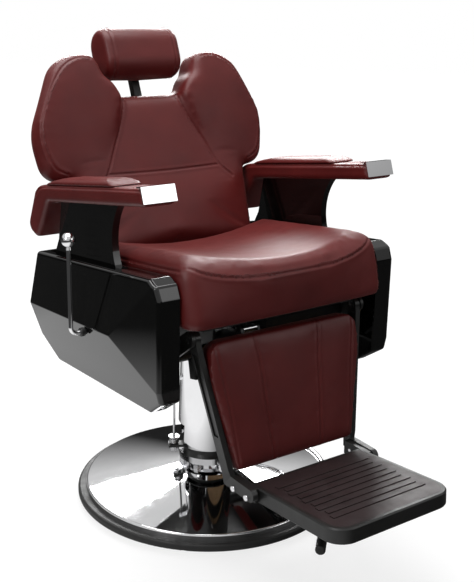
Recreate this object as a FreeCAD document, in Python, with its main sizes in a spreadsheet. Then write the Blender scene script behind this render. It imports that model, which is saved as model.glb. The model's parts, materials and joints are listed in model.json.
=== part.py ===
import FreeCAD, Part
import math
import os
import re
import Sketcher
from FreeCAD import Placement, Rotation, Vector

# Hydraulic barber chair, in millimetres.
# The origin is the centre of the base on the floor, +Z is up and the sitter faces -Y.
# Right and left are the sitter's, so right is at -X.

os.makedirs("parts", exist_ok=True)
doc = FreeCAD.newDocument("barber_chair")

# Driving sizes

SIZES = {
    # Base
    "base_radius": 325, "ring_height": 20, "ring_round": 7, "ring_lap": 5.7, "ring_ledge": 12,
    "dome_inset": 21, "dome_wall": 3, "dome_rim_top": 33, "dome_top": 72, "dome_boss_radius": 76,
    "dome_fold": 5, "dome_hole_radius": 30, "plate_height": 10, "plate_boss_radius": 68,
    # Pump
    "neck_radius": 50, "neck_height": 16, "flange_radius": 73, "flange_height": 16,
    "nut_flats": 19, "nut_height": 11, "nut_circle": 62, "nut_count": 6,
    "clamp_radius": 63, "clamp_height": 22, "cylinder_radius": 40, "cylinder_floor": 6,
    "cover_foot_gap": 1, "cover_foot_radius": 76, "cover_top_radius": 70, "cover_wall": 3,
    "cover_top": 352, "collar_radius": 69, "collar_height": 8, "collar_groove": 1.5,
    "window_angle": 153, "window_width": 76, "window_height": 55,
    # Plunger rod beside the pump
    "plunger_circle": 86, "plunger_radius": 3, "plunger_top": 302, "plunger_tail": 24,
    "lug_drop": 6, "lug_height": 7, "lug_width": 26, "lug_reach": 100,
    "guide_height": 6, "guide_width": 14, "guide_reach": 93,
    "spring_wire": 3, "spring_radius": 11, "spring_turns": 3.5, "spring_height": 16.4,
    "washer_radius": 14, "washer_height": 3,
    # Foot lever
    "lever_axis_height": 106, "boss_radius": 14, "boss_end": 95, "shaft_radius": 9, "hub_radius": 16,
    "hub_start": 97, "hub_end": 117, "lever_radius": 6, "pedal_radius": 11, "pedal_length": 100,
    # Ram
    "ram_radius": 25, "ram_foot_gap": 2, "ram_flange_radius": 42, "ram_flange_gap": 2,
    "ram_flange_height": 10, "spigot_radius": 18, "cap_radius": 28, "cap_height": 6,
    "running_gap": 0.05, "seat_gap": 0.3,
    # Swivel plate and under-seat frame
    "bearing_height": 6, "bearing_radius": 44, "swivel_hub_radius": 48, "swivel_hub_height": 26,
    "top_plate_width": 280, "top_plate_depth": 320, "top_plate_height": 8,
    "cheek_place": 117, "cheek_thickness": 6, "cheek_nose": 30, "cheek_heel": 40,
    "cheek_foot_inset": 10, "tube_radius": 14, "front_tube_inset": 10, "rear_tube_inset": 70,
    "tube_z": 432,
    "side_frame_place": 276, "side_frame_thickness": 8, "side_frame_front": -215,
    "side_frame_rear": 200, "side_frame_low": 408, "side_frame_lap": 30,
    "bracket_place": 229, "bracket_thickness": 8, "bracket_radius": 17,
    "beam_start": 5, "beam_front": -215, "beam_depth": 20, "beam_low": 478, "beam_height": 22,
    # Seat
    "seat_tilt": 5.5, "seat_front": -322, "seat_low": 545, "seat_depth": 446, "seat_half_width": 266,
    "seat_thickness": 132, "seat_crown": 10, "seat_corner": 34, "seat_bow": 6, "seat_dish": 38,
    "seat_dish_fall": 14,
    "seat_top_bow": 30, "seat_top_sweep": 26, "board_thickness": 14,
    "board_half_width": 205, "board_front_inset": 52, "board_rear_inset": 12,
    # Side covers
    "cover_inner": 270, "cover_outer": 345, "side_wall": 4, "side_round": 10,
    # Arms
    "panel_place": 284, "panel_thickness": 16, "panel_foot": 560, "panel_front": -95,
    "panel_hollow_radius": 124, "louvre_depth": 1.2, "louvre_height": 2.4, "louvre_pitch": 15,
    "arm_inner": 256, "arm_width": 78, "arm_tilt": 8.5, "arm_front": -240, "arm_front_top": 834,
    "arm_thickness": 38, "arm_length": 470, "arm_round": 9, "arm_slant": 8, "elbow_height": 16,
    "elbow_length": 330, "elbow_front_inset": 112, "elbow_side_inset": 1, "elbow_bevel": 34,
    "arm_cap_wall": 2.5, "arm_cap_lip": 14,
    "arm_cap_drop": 31,
    # Backrest
    "pivot_y": 168, "pivot_z": 492, "pin_radius": 8, "back_lean": 22.2, "back_foot_y": 126,
    "back_foot_z": 585, "back_thickness": 75, "back_round": 28, "back_crown": 6,
    "back_half_width": 330, "back_height": 505,
    "back_board_thickness": 12, "back_board_inset": 40, "back_bracket_place": 196,
    "back_bracket_thickness": 8, "back_bracket_length": 250, "back_tube_radius": 11,
    "crank_thickness": 6, "crank_y": 40, "crank_drop": 20, "link_pin_radius": 5,
    # Headrest
    "headrest_low": 443, "headrest_height": 127, "headrest_depth": 94, "headrest_half_width": 106,
    "headrest_front": 26, "headrest_round": 45, "post_width": 20, "post_depth": 20, "post_length": 300,
    "post_grip": 80, "guide_wall": 4, "guide_low": 200, "guide_length": 180, "slide_gap": 0.2,
    "wing_height": 34, "wing_start": 222, "wing_full": 430,
    # Leg rest
    "leg_pivot_y": -264, "leg_pivot_z": 513, "leg_bar_place": 214, "leg_bar_thickness": 13,
    "leg_bar_depth": 28, "elbow_y": -328, "elbow_z": 204, "leg_foot_place": 164, "foot_end_y": -406,
    "foot_end_z": 201, "crossbar_top": -34, "crossbar_depth": 44, "crossbar_thickness": 7,
    "pad_top_z": 506, "pad_top_y": -290, "pad_lean": 11.4, "pad_length": 286, "pad_thickness": 44,
    "pad_top_half": 203, "pad_foot_half": 160, "pad_crown": 6, "pad_overhang": 8,
    "leg_board_thickness": 10,
    "link_width": 36, "link_centre": -53, "link_thickness": 8, "link_eye_radius": 10,
    # Footplate
    "plate_rear": -380, "plate_top": 212, "plate_tilt": 4.2, "plate_length": 284, "plate_depth": 33,
    "plate_rear_half": 156, "plate_front_half": 160, "plate_corner": 44, "plate_rim": 10,
    "plate_wall": 4, "tread_depth": 3, "tread_ribs": 9, "tread_rib_height": 2,
    "ear_front": -410, "ear_rear": -334, "ear_low": 182, "ear_top": 213, "foot_bolt_radius": 7,
    "foot_bolt_height": 5, "foot_bolt_shank": 4,
    # Recline lock and its lever
    "lock_x": 60, "lock_radius": 38, "recline_travel": 40, "lock_tube_radius": 14,
    "lock_tube_start": -100, "lock_tube_end": 72, "lock_rod_radius": 5, "yoke_width": 14,
    "yoke_depth": 26, "yoke_height": 26, "lever_y": -14, "lever_z": 479, "handle_radius": 5,
    "handle_place": 377, "handle_height": 202, "handle_bend": 15, "ball_radius": 16,
    "lever_hub_radius": 10, "lever_hub_height": 10, "lever_shaft_radius": 6,
}

# How far cutters run past the faces they open, and a length longer than any piece
OVERRUN = 20
PAST_ALL = 1000

sheet = doc.addObject("Spreadsheet::Sheet", "Sizes")
for row, (alias, number) in enumerate(SIZES.items(), start=1):
    sheet.set("A%d" % row, alias)
    sheet.set("B%d" % row, str(number))
    sheet.setAlias("B%d" % row, alias)
doc.recompute()


def size(alias):
    """Number that the sheet holds under this alias."""
    return float(getattr(sheet, alias))


def bound(text):
    """Expression in which every alias is read from the sheet."""
    def linked(match):
        word = match.group(0)
        return "Sizes." + word if word in SIZES else word
    return re.sub(r"[a-z_]+", linked, str(text))


def tie(thing, **expressions):
    """Bind properties to expressions of the sheet; a double underscore stands for a dot."""
    for path, text in expressions.items():
        thing.setExpression(path.replace("__", "."), bound(text))


# Builders of single pieces

def box(label, place, extent):
    """Box from its low corner and its three edges."""
    piece = doc.addObject("Part::Box", label)
    tie(piece, Length=extent[0], Width=extent[1], Height=extent[2])
    tie(piece, Placement__Base__x=place[0], Placement__Base__y=place[1], Placement__Base__z=place[2])
    return piece


def cylinder(label, radius, length, place, along=Vector(0, 0, 1)):
    """Cylinder from the centre of its first end."""
    piece = doc.addObject("Part::Cylinder", label)
    piece.Placement = Placement(Vector(), Rotation(Vector(0, 0, 1), along))
    tie(piece, Radius=radius, Height=length)
    tie(piece, Placement__Base__x=place[0], Placement__Base__y=place[1], Placement__Base__z=place[2])
    return piece


def cross_cylinder(label, radius, start, end, y, z):
    """Cylinder along X from start to end."""
    return cylinder(label, radius, "(%s) - (%s)" % (end, start), (start, y, z), Vector(1, 0, 0))


def fuse(label, shapes):
    piece = doc.addObject("Part::MultiFuse", label)
    piece.Shapes = shapes
    piece.Refine = True
    return piece


def cut(label, base, tools):
    piece = doc.addObject("Part::Cut", label)
    piece.Base = base
    piece.Tool = tools[0] if len(tools) == 1 else fuse(label + "_cutters", tools)
    return piece


def group(label, shapes):
    """Several like solids in one sub-part."""
    piece = doc.addObject("Part::Compound", label)
    piece.Links = shapes
    return piece


def mirrored(label, source):
    """The left-hand twin of a right-hand piece, or the other way round."""
    piece = doc.addObject("Part::Mirroring", label)
    piece.Source = source
    piece.Normal = Vector(1, 0, 0)
    return piece


def outline_sketch(body, name, role, corners, offset="0"):
    """Closed polygon on one of the body's own origin planes, each corner held by two sizes."""
    sketch = body.newObject("Sketcher::SketchObject", name)
    plane = [part for part in body.Origin.OriginFeatures if part.Role == role][0]
    sketch.AttachmentSupport = [(plane, "")]
    sketch.MapMode = "FlatFace"
    tie(sketch, AttachmentOffset__Base__z=offset)
    count = len(corners)
    start = [Vector(math.cos(2 * math.pi * k / count), math.sin(2 * math.pi * k / count), 0)
             for k in range(count)]
    for k in range(count):
        sketch.addGeometry(Part.LineSegment(start[k], start[(k + 1) % count]), False)
    for k in range(count):
        sketch.addConstraint(Sketcher.Constraint("Coincident", k, 2, (k + 1) % count, 1))
    for k, (across, up) in enumerate(corners):
        for kind, text, value in (("DistanceX", across, start[k].x), ("DistanceY", up, start[k].y)):
            number = sketch.addConstraint(Sketcher.Constraint(kind, -1, 1, k, 1, value))
            sketch.setExpression("Constraints[%d]" % number, bound(text))
    return sketch


def padded(label, role, corners, offset, depth):
    """Body padded from a polygon: on YZ_Plane along X, on XY_Plane along Z."""
    body = doc.addObject("PartDesign::Body", label)
    sketch = outline_sketch(body, label + "_outline", role, corners, offset)
    pad = body.newObject("PartDesign::Pad", label + "_pad")
    pad.Profile = sketch
    tie(pad, Length=depth)
    doc.recompute()
    return body


def turned(label, corners):
    """Body revolved about Z from a polygon of radius and height."""
    body = doc.addObject("PartDesign::Body", label)
    sketch = outline_sketch(body, label + "_outline", "XZ_Plane", corners)
    turn = body.newObject("PartDesign::Revolution", label + "_turn")
    turn.Profile = sketch
    turn.ReferenceAxis = (sketch, ["V_Axis"])
    turn.Angle = 360
    doc.recompute()
    return body


def round_edges(body, radius, wanted):
    """Fillet on the edges of the body's last feature that the test picks."""
    base = body.Tip
    names = ["Edge%d" % (k + 1) for k, edge in enumerate(base.Shape.Edges) if wanted(edge)]
    fillet = body.newObject("PartDesign::Fillet", body.Label + "_round")
    fillet.Base = (base, names)
    tie(fillet, Radius=radius)
    doc.recompute()
    return body


def feature(label, shape, placement=None):
    """Piece whose form is worked out from the sheet's sizes."""
    piece = doc.addObject("Part::Feature", label)
    piece.Shape = shape
    if placement is not None:
        piece.Placement = placement.multiply(shape.Placement)
    return piece


# Soft forms: outlines of lines and arcs, stacked into lofts

def inset_corners(corners, inset):
    """Corners of a counter-clockwise outline after each side moves inwards."""
    moved = []
    count = len(corners)
    for k in range(count):
        before, here, after = corners[k - 1], corners[k], corners[(k + 1) % count]
        first = (here - before).normalize()
        second = (after - here).normalize()
        first_in = Vector(-first.y, first.x, 0)
        second_in = Vector(-second.y, second.x, 0)
        spread = 1 + first_in.dot(second_in)
        moved.append(here + (first_in + second_in) * (inset / spread))
    return moved


def soft_outline(corners, radii, inset, height):
    """Wire of lines and corner arcs, inset from the full outline, at a height along Z."""
    points = inset_corners([Vector(x, y, 0) for x, y in corners], inset)
    count = len(points)
    stops = []
    for k in range(count):
        here = points[k]
        back = (points[k - 1] - here).normalize()
        ahead = (points[(k + 1) % count] - here).normalize()
        hollow = back.cross(ahead).z > 0
        radius = radii[k] + inset if hollow else max(radii[k] - inset, 1.5)
        half = math.acos(max(-1.0, min(1.0, back.dot(ahead)))) / 2
        run = radius / math.tan(half)
        bisector = (back + ahead).normalize()
        middle = here + bisector * (radius / math.sin(half) - radius)
        stops.append((here + back * run, middle, here + ahead * run))
    lift = Vector(0, 0, height)
    edges = []
    for k in range(count):
        first, middle, last = (point + lift for point in stops[k])
        edges.append(Part.Arc(first, middle, last).toShape())
        edges.append(Part.LineSegment(last, stops[(k + 1) % count][0] + lift).toShape())
    return Part.Wire(edges)


def stacked(corners, radii, layers):
    """Closed solid through the outline at (height, inset) layers; corners may depend on height."""
    wires = []
    for height, inset in layers:
        shape = corners(height) if callable(corners) else corners
        wires.append(soft_outline(shape, radii, inset, height))
    return Part.makeLoft(wires, True, True)


def seam_cutter(points, radius):
    """Round groove along straight runs, for a sewn seam."""
    runs = []
    for first, second in zip(points, points[1:]):
        way = second - first
        runs.append(Part.makeCylinder(radius, way.Length, first, way))
        runs.append(Part.makeSphere(radius, second))
    return runs[0].multiFuse(runs[1:])


# Base: steel plate, chrome dome and rubber floor ring

DOME_RADIUS = "base_radius - dome_inset"
RING_BORE = DOME_RADIUS + " - ring_lap"

base_plate = turned("base_plate", [
    ("0", "0"), (RING_BORE + " - seat_gap", "0"),
    (RING_BORE + " - seat_gap", "plate_height"), ("plate_boss_radius", "plate_height"),
    ("plate_boss_radius", "dome_top - dome_wall"), ("0", "dome_top - dome_wall")])

base_ring = turned("base_ring", [
    (RING_BORE, "0"), ("base_radius", "0"), ("base_radius", "ring_height"),
    (DOME_RADIUS + " + seat_gap", "ring_height"), (DOME_RADIUS + " + seat_gap", "ring_ledge"),
    (RING_BORE, "ring_ledge")])
round_edges(base_ring, "ring_round", lambda edge: edge.BoundBox.XMax > size("base_radius") - 0.1
            and edge.BoundBox.ZLength < 0.1)

base_dome = turned("base_dome", [
    (DOME_RADIUS, "ring_ledge"), (DOME_RADIUS, "dome_rim_top"), ("dome_boss_radius", "dome_top"),
    ("dome_hole_radius", "dome_top"), ("dome_hole_radius", "dome_top - dome_wall"),
    ("dome_boss_radius", "dome_top - dome_wall"),
    (DOME_RADIUS + " - dome_wall", "dome_rim_top - dome_wall"),
    (DOME_RADIUS + " - dome_wall", "ring_ledge")])
round_edges(base_dome, "dome_fold", lambda edge: abs(edge.BoundBox.ZMax - size("dome_rim_top")) < 0.1
            and edge.BoundBox.XMax > size("base_radius") - size("dome_inset") - 0.1
            and edge.BoundBox.ZLength < 0.1)

# Pump: flange on the dome, clamp ring, inner cylinder, chrome cover and collar

NECK_TOP = "dome_top + neck_height"
FLANGE_TOP = "dome_top + neck_height + flange_height"
CLAMP_TOP = FLANGE_TOP + " + clamp_height"

flange_turned = turned("flange_turned", [
    ("0", "dome_top"), ("neck_radius", "dome_top"), ("neck_radius", NECK_TOP),
    ("flange_radius", NECK_TOP), ("flange_radius", FLANGE_TOP), ("0", FLANGE_TOP)])
flange_boss = cross_cylinder("flange_boss", "boss_radius", "clamp_radius + seat_gap", "boss_end",
                             "0", "lever_axis_height")
shaft_bore = cross_cylinder("shaft_bore", "shaft_radius + running_gap", "clamp_radius",
                            "boss_end + 1", "0", "lever_axis_height")
pump_flange = cut("pump_flange", fuse("flange_with_boss", [flange_turned, flange_boss]), [shaft_bore])

clamp_turned = turned("clamp_turned", [
    ("cylinder_radius + running_gap", FLANGE_TOP), ("clamp_radius", FLANGE_TOP),
    ("clamp_radius", CLAMP_TOP), ("cylinder_radius + running_gap", CLAMP_TOP)])

pump_cylinder = turned("pump_cylinder", [
    ("0", FLANGE_TOP), ("cylinder_radius", FLANGE_TOP), ("cylinder_radius", "cover_top"),
    ("ram_radius + running_gap", "cover_top"),
    ("ram_radius + running_gap", FLANGE_TOP + " + cylinder_floor"),
    ("0", FLANGE_TOP + " + cylinder_floor")])

pump_collar = turned("pump_collar", [
    ("ram_radius + 2 * running_gap", "cover_top"), ("collar_radius", "cover_top"),
    ("collar_radius", "cover_top + collar_groove"),
    ("collar_radius - collar_groove", "cover_top + collar_groove"),
    ("collar_radius - collar_groove", "cover_top + 2 * collar_groove"),
    ("collar_radius", "cover_top + 2 * collar_groove"),
    ("collar_radius", "cover_top + collar_height"),
    ("ram_radius + 2 * running_gap", "cover_top + collar_height")])

COVER_FOOT = CLAMP_TOP + " + cover_foot_gap"


def around(alias):
    """Rotation that turns +X towards the angle held under this alias."""
    return Rotation(Vector(0, 0, 1), size(alias))


def swung_box(label, angle_alias, inner, outer, width, low, height):
    """Box that reaches outwards from the Z axis in the direction of the angle."""
    turn = around(angle_alias)
    side = turn.multVec(Vector(0, 1, 0))
    ahead = turn.multVec(Vector(1, 0, 0))
    piece = doc.addObject("Part::Box", label)
    piece.Placement = Placement(Vector(), turn)
    tie(piece, Length="(%s) - (%s)" % (outer, inner), Width=width, Height=height)
    tie(piece, Placement__Base__x="(%s) * %.9f - (%s) / 2 * %.9f" % (inner, ahead.x, width, side.x),
        Placement__Base__y="(%s) * %.9f - (%s) / 2 * %.9f" % (inner, ahead.y, width, side.y),
        Placement__Base__z=low)
    return piece


def cover_cone(label, grow):
    """Tapered solid of the pump cover, grown outwards by a distance."""
    piece = doc.addObject("Part::Cone", label)
    tie(piece, Radius1="cover_foot_radius + (%s)" % grow, Radius2="cover_top_radius + (%s)" % grow,
        Height="cover_top - (%s)" % COVER_FOOT, Placement__Base__z=COVER_FOOT)
    return piece


guide_block = swung_box("guide_block", "window_angle", "cover_top_radius - cover_wall", "guide_reach",
                        "guide_width", "plunger_top - 2 * guide_height", "guide_height")
guide_bore = doc.addObject("Part::Cylinder", "guide_bore")
window = swung_box("window", "window_angle", "0", "cover_foot_radius + 20", "window_width",
                   COVER_FOOT, "window_height")


def beside_pump(piece, low):
    """Put a piece on the plunger rod's axis."""
    ahead = around("window_angle").multVec(Vector(1, 0, 0))
    tie(piece, Placement__Base__x="plunger_circle * %.9f" % ahead.x,
        Placement__Base__y="plunger_circle * %.9f" % ahead.y, Placement__Base__z=low)


tie(guide_bore, Radius="plunger_radius + seat_gap", Height="3 * guide_height")
beside_pump(guide_bore, "plunger_top - 3 * guide_height")
pump_cover = cut("pump_cover", fuse("cover_and_guide", [cover_cone("cover_skin", "0"), guide_block]),
                 [cover_cone("cover_hollow", "-cover_wall"), window, guide_bore])

LUG_TOP = CLAMP_TOP + " - lug_drop"
lug_block = swung_box("lug_block", "window_angle", "cylinder_radius + 10", "lug_reach", "lug_width",
                      LUG_TOP + " - lug_height", "lug_height")
lug_bore = doc.addObject("Part::Cylinder", "lug_bore")
tie(lug_bore, Radius="plunger_radius + seat_gap", Height="lug_height + 20")
beside_pump(lug_bore, LUG_TOP + " - lug_height - 10")
clamp_ring = cut("clamp_ring", fuse("clamp_and_lug", [clamp_turned, lug_block]), [lug_bore])

# Plunger rod with its washer and spring, and the hex nuts

rod_shank = doc.addObject("Part::Cylinder", "rod_shank")
tie(rod_shank, Radius="plunger_radius", Height="plunger_top - (%s) + plunger_tail" % LUG_TOP)
beside_pump(rod_shank, LUG_TOP + " - plunger_tail")
rod_washer = doc.addObject("Part::Cylinder", "rod_washer")
tie(rod_washer, Radius="washer_radius", Height="washer_height")
beside_pump(rod_washer, LUG_TOP + " + spring_height")
plunger_rod = fuse("plunger_rod", [rod_shank, rod_washer])


def biarc(start, start_way, end, end_way):
    """Two arcs that meet tangentially between two points with given directions."""
    gap = end - start
    total = start_way + end_way
    twist = 2 * (1 - start_way.dot(end_way))
    reach = (-gap.dot(total) + math.sqrt(gap.dot(total) ** 2 + twist * gap.dot(gap))) / twist
    joint = (start + end + (start_way - end_way) * reach) * 0.5
    edges = []
    for first, way, last in ((start, start_way, joint), (end, end_way * -1, joint)):
        chord = last - first
        along = Vector(chord).normalize()
        aside = (way - along * way.dot(along)).normalize()
        rise = math.tan(math.acos(min(1.0, way.dot(along))) / 2)
        middle = first + chord * 0.5 + aside * (chord.Length / 2 * rise)
        if first is start:
            edges.append(Part.Arc(first, middle, last).toShape())
        else:
            edges.append(Part.Arc(last, middle, first).toShape())
    return edges


def coil_spring(turns, mean_radius, wire, height):
    """Open coil about Z: one unbroken tube on quarter-turn biarcs; prints its least own gap."""
    rise = (height - wire) / turns
    quarters = int(round(turns * 4))

    def spot(quarter):
        angle = quarter * math.pi / 2
        return Vector(mean_radius * math.cos(angle), mean_radius * math.sin(angle),
                      wire / 2 + rise * quarter / 4)

    def way(quarter):
        angle = quarter * math.pi / 2
        return Vector(-mean_radius * math.sin(angle), mean_radius * math.cos(angle),
                      rise / (2 * math.pi)).normalize()

    edges = []
    for quarter in range(quarters):
        edges += biarc(spot(quarter), way(quarter), spot(quarter + 1), way(quarter + 1))
    path = Part.Wire(edges)
    ring = Part.Wire(Part.Circle(spot(0), way(0), wire / 2).toShape())
    shell = Part.BRepOffsetAPI.MakePipeShell(path)
    shell.add(ring)
    shell.build()
    shell.makeSolid()
    tube = shell.shape()
    points = path.discretize(int(turns * 24))
    near = int(24 * 0.75)
    gaps = [(points[j] - points[i]).Length - wire
            for i in range(len(points)) for j in range(i + near, len(points))]
    print("spring: least gap between turns %.2f mm" % min(gaps))
    return tube


AHEAD = around("window_angle").multVec(Vector(1, 0, 0))
LUG_TOP_Z = (size("dome_top") + size("neck_height") + size("flange_height") + size("clamp_height")
             - size("lug_drop"))
plunger_spring = feature(
    "plunger_spring",
    coil_spring(size("spring_turns"), size("spring_radius"), size("spring_wire"),
                size("spring_height") - 2 * size("seat_gap")),
    Placement(AHEAD * size("plunger_circle") + Vector(0, 0, LUG_TOP_Z + size("seat_gap")),
              Rotation()))


def hex_nut(label, low):
    piece = doc.addObject("Part::Prism", label)
    piece.Polygon = 6
    tie(piece, Circumradius="nut_flats / 2 / cos(30 deg)", Height="nut_height",
        Placement__Base__z=low)
    return piece


nuts = []
for number in range(int(size("nut_count"))):
    angle = math.radians(30 + 360 / size("nut_count") * number)
    nut = hex_nut("flange_nut_%d" % number, "dome_top")
    tie(nut, Placement__Base__x="nut_circle * %.9f" % math.cos(angle),
        Placement__Base__y="nut_circle * %.9f" % math.sin(angle))
    nuts.append(nut)
rod_nut = hex_nut("rod_nut_blank", "0")
beside_pump(rod_nut, LUG_TOP + " - lug_height - nut_height")
rod_nut_bore = doc.addObject("Part::Cylinder", "rod_nut_bore")
tie(rod_nut_bore, Radius="plunger_radius + running_gap", Height="nut_height + 2")
beside_pump(rod_nut_bore, LUG_TOP + " - lug_height - nut_height - 1")
nuts.append(cut("rod_nut", rod_nut, [rod_nut_bore]))
hex_nuts = group("hex_nuts", nuts)

# Foot lever: rocker shaft, curved bar with its hub, and the rubber pedal sleeve

rocker_shaft = cross_cylinder("rocker_shaft", "shaft_radius", "clamp_radius + 2", "hub_end + 1",
                              "0", "lever_axis_height")

LEVER_ROUTE = [(107, -11), (206, -46), (199, -202), (82, -366), (-84, -530)]
LEVER_BENDS = [42, 190, 420]


def routed_wire(corners, bends, height):
    """Straight runs joined by tangent arcs, all at one height."""
    points = [Vector(x, y, height) for x, y in corners]
    edges = []
    here = points[0]
    for k, bend in enumerate(bends, start=1):
        back = (points[k - 1] - points[k]).normalize()
        ahead = (points[k + 1] - points[k]).normalize()
        half = math.acos(back.dot(ahead)) / 2
        run = bend / math.tan(half)
        middle = points[k] + (back + ahead).normalize() * (bend / math.sin(half) - bend)
        edges.append(Part.LineSegment(here, points[k] + back * run).toShape())
        edges.append(Part.Arc(points[k] + back * run, middle, points[k] + ahead * run).toShape())
        here = points[k] + ahead * run
    edges.append(Part.LineSegment(here, points[-1]).toShape())
    return Part.Wire(edges)


def lever_bar():
    """Hub and curved round bar in one piece, bored for the rocker shaft."""
    height = size("lever_axis_height")
    route = routed_wire(LEVER_ROUTE, LEVER_BENDS, height)
    first = Vector(*LEVER_ROUTE[0], height)
    second = Vector(*LEVER_ROUTE[1], height)
    ring = Part.Wire(Part.Circle(first, second - first, size("lever_radius")).toShape())
    bar = route.makePipeShell([ring], True, False)
    hub = Part.makeCylinder(size("hub_radius"), size("hub_end") - size("hub_start"),
                            Vector(size("hub_start"), 0, height), Vector(1, 0, 0))
    bore = Part.makeCylinder(size("shaft_radius") + size("running_gap"), size("hub_end") + 20,
                             Vector(0, 0, height), Vector(1, 0, 0))
    return hub.fuse(bar).cut(bore).removeSplitter()


def pedal_rubber():
    """Closed-end sleeve over the last straight run of the bar."""
    height = size("lever_axis_height")
    end = Vector(*LEVER_ROUTE[-1], height)
    back = (Vector(*LEVER_ROUTE[-2], height) - end).normalize()
    tip = end - back * (size("pedal_radius") - size("lever_radius"))
    outer = Part.makeCylinder(size("pedal_radius"), size("pedal_length"), tip, back)
    rims = [edge for edge in outer.Edges if edge.Curve.TypeId == "Part::GeomCircle"]
    outer = outer.makeFillet(size("pedal_radius") * 0.4, rims)
    bore = Part.makeCylinder(size("lever_radius") + size("running_gap"), size("pedal_length"),
                             end - back * size("running_gap"), back)
    return outer.cut(bore)


pump_lever = feature("pump_lever", lever_bar())
pedal_sleeve = feature("pedal_sleeve", pedal_rubber())

# Ram: slides in the pump cylinder and carries the swivel

RAM_FOOT = FLANGE_TOP + " + cylinder_floor + ram_foot_gap"
RAM_FLANGE_LOW = "cover_top + collar_height + ram_flange_gap"
RAM_FLANGE_TOP = RAM_FLANGE_LOW + " + ram_flange_height"
HUB_LOW = RAM_FLANGE_TOP + " + seat_gap + bearing_height"
TOP_PLATE_LOW = HUB_LOW + " + swivel_hub_height"
TOP_PLATE_TOP = TOP_PLATE_LOW + " + top_plate_height"
SPIGOT_TOP = TOP_PLATE_TOP + " + seat_gap"

lift_ram = turned("lift_ram", [
    ("0", RAM_FOOT), ("ram_radius", RAM_FOOT), ("ram_radius", RAM_FLANGE_LOW),
    ("ram_flange_radius", RAM_FLANGE_LOW), ("ram_flange_radius", RAM_FLANGE_TOP),
    ("spigot_radius", RAM_FLANGE_TOP), ("spigot_radius", SPIGOT_TOP), ("0", SPIGOT_TOP)])
ram_cap = cylinder("ram_cap", "cap_radius", "cap_height", ("0", "0", SPIGOT_TOP))

# Swivel plate and the frame welded on it

swivel_bearing = turned("swivel_bearing", [
    ("spigot_radius + running_gap", RAM_FLANGE_TOP + " + seat_gap"),
    ("bearing_radius", RAM_FLANGE_TOP + " + seat_gap"), ("bearing_radius", HUB_LOW),
    ("spigot_radius + running_gap", HUB_LOW)])
plate_hub = cylinder("plate_hub", "swivel_hub_radius", "swivel_hub_height + top_plate_height",
                     ("0", "0", HUB_LOW))
plate_flat = box("plate_flat", ("-top_plate_width / 2", "-top_plate_depth / 2", TOP_PLATE_LOW),
                 ("top_plate_width", "top_plate_depth", "top_plate_height"))
plate_bore = cylinder("plate_bore", "spigot_radius + running_gap", "swivel_hub_height + 20",
                      ("0", "0", HUB_LOW + " - 5"))
swivel_plate = cut("swivel_plate", fuse("plate_and_hub", [plate_hub, plate_flat]), [plate_bore])

SLOPE = "tan(seat_tilt * 1 deg)"
CHEEK_FRONT = "-(top_plate_depth / 2 + cheek_nose)"
CHEEK_REAR = "top_plate_depth / 2 - cheek_heel"
FRONT_TUBE_Y = "-(top_plate_depth / 2 - front_tube_inset)"
REAR_TUBE_Y = "top_plate_depth / 2 - rear_tube_inset"
FRAME_TOP = "panel_foot + side_frame_lap"


def board_underside(y):
    """Height of the seat board's underside above a place along Y."""
    return ("seat_low - board_thickness / cos(seat_tilt * 1 deg) - ((%s) - seat_front) * %s"
            % (y, SLOPE))


cheek_blank = padded("cheek_blank", "YZ_Plane", [
    ("-top_plate_depth / 2 + cheek_foot_inset", TOP_PLATE_TOP), (CHEEK_REAR, TOP_PLATE_TOP),
    (CHEEK_REAR, board_underside(CHEEK_REAR)), (CHEEK_FRONT, board_underside(CHEEK_FRONT)),
    (CHEEK_FRONT, "tube_z")],
    "-cheek_place - cheek_thickness", "cheek_thickness")


def tube_cutter(label, y, radius="tube_radius + running_gap", z="tube_z"):
    """Right-hand cutter for a tube or pin along X."""
    return cross_cylinder(label, radius, "-side_frame_place - 40", "0", y, z)


cheek_plate_r = cut("cheek_plate_r", cheek_blank, [
    tube_cutter("cheek_front_bore", FRONT_TUBE_Y), tube_cutter("cheek_rear_bore", REAR_TUBE_Y)])
cheek_plate_l = mirrored("cheek_plate_l", cheek_plate_r)

frame_tubes = group("frame_tubes", [
    cross_cylinder("front_tube", "tube_radius", "-side_frame_place", "side_frame_place",
                   FRONT_TUBE_Y, "tube_z"),
    cross_cylinder("rear_tube", "tube_radius", "-side_frame_place", "side_frame_place",
                   REAR_TUBE_Y, "tube_z")])

side_frame_blank = padded("side_frame_blank", "YZ_Plane", [
    ("side_frame_front + 40", "side_frame_low"), ("side_frame_rear - 65", "side_frame_low"),
    ("side_frame_rear", "pivot_z - 28"), ("side_frame_rear", FRAME_TOP),
    ("side_frame_front", FRAME_TOP), ("side_frame_front", "side_frame_low + 60")],
    "-side_frame_place - side_frame_thickness", "side_frame_thickness")
side_frame_r = cut("side_frame_r", side_frame_blank, [
    tube_cutter("frame_lever_bore", "lever_y", "lever_shaft_radius + running_gap", "lever_z"),
    tube_cutter("frame_pivot_bore", "pivot_y", "pin_radius + running_gap", "pivot_z")])
side_frame_l = mirrored("side_frame_l", side_frame_r)

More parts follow.
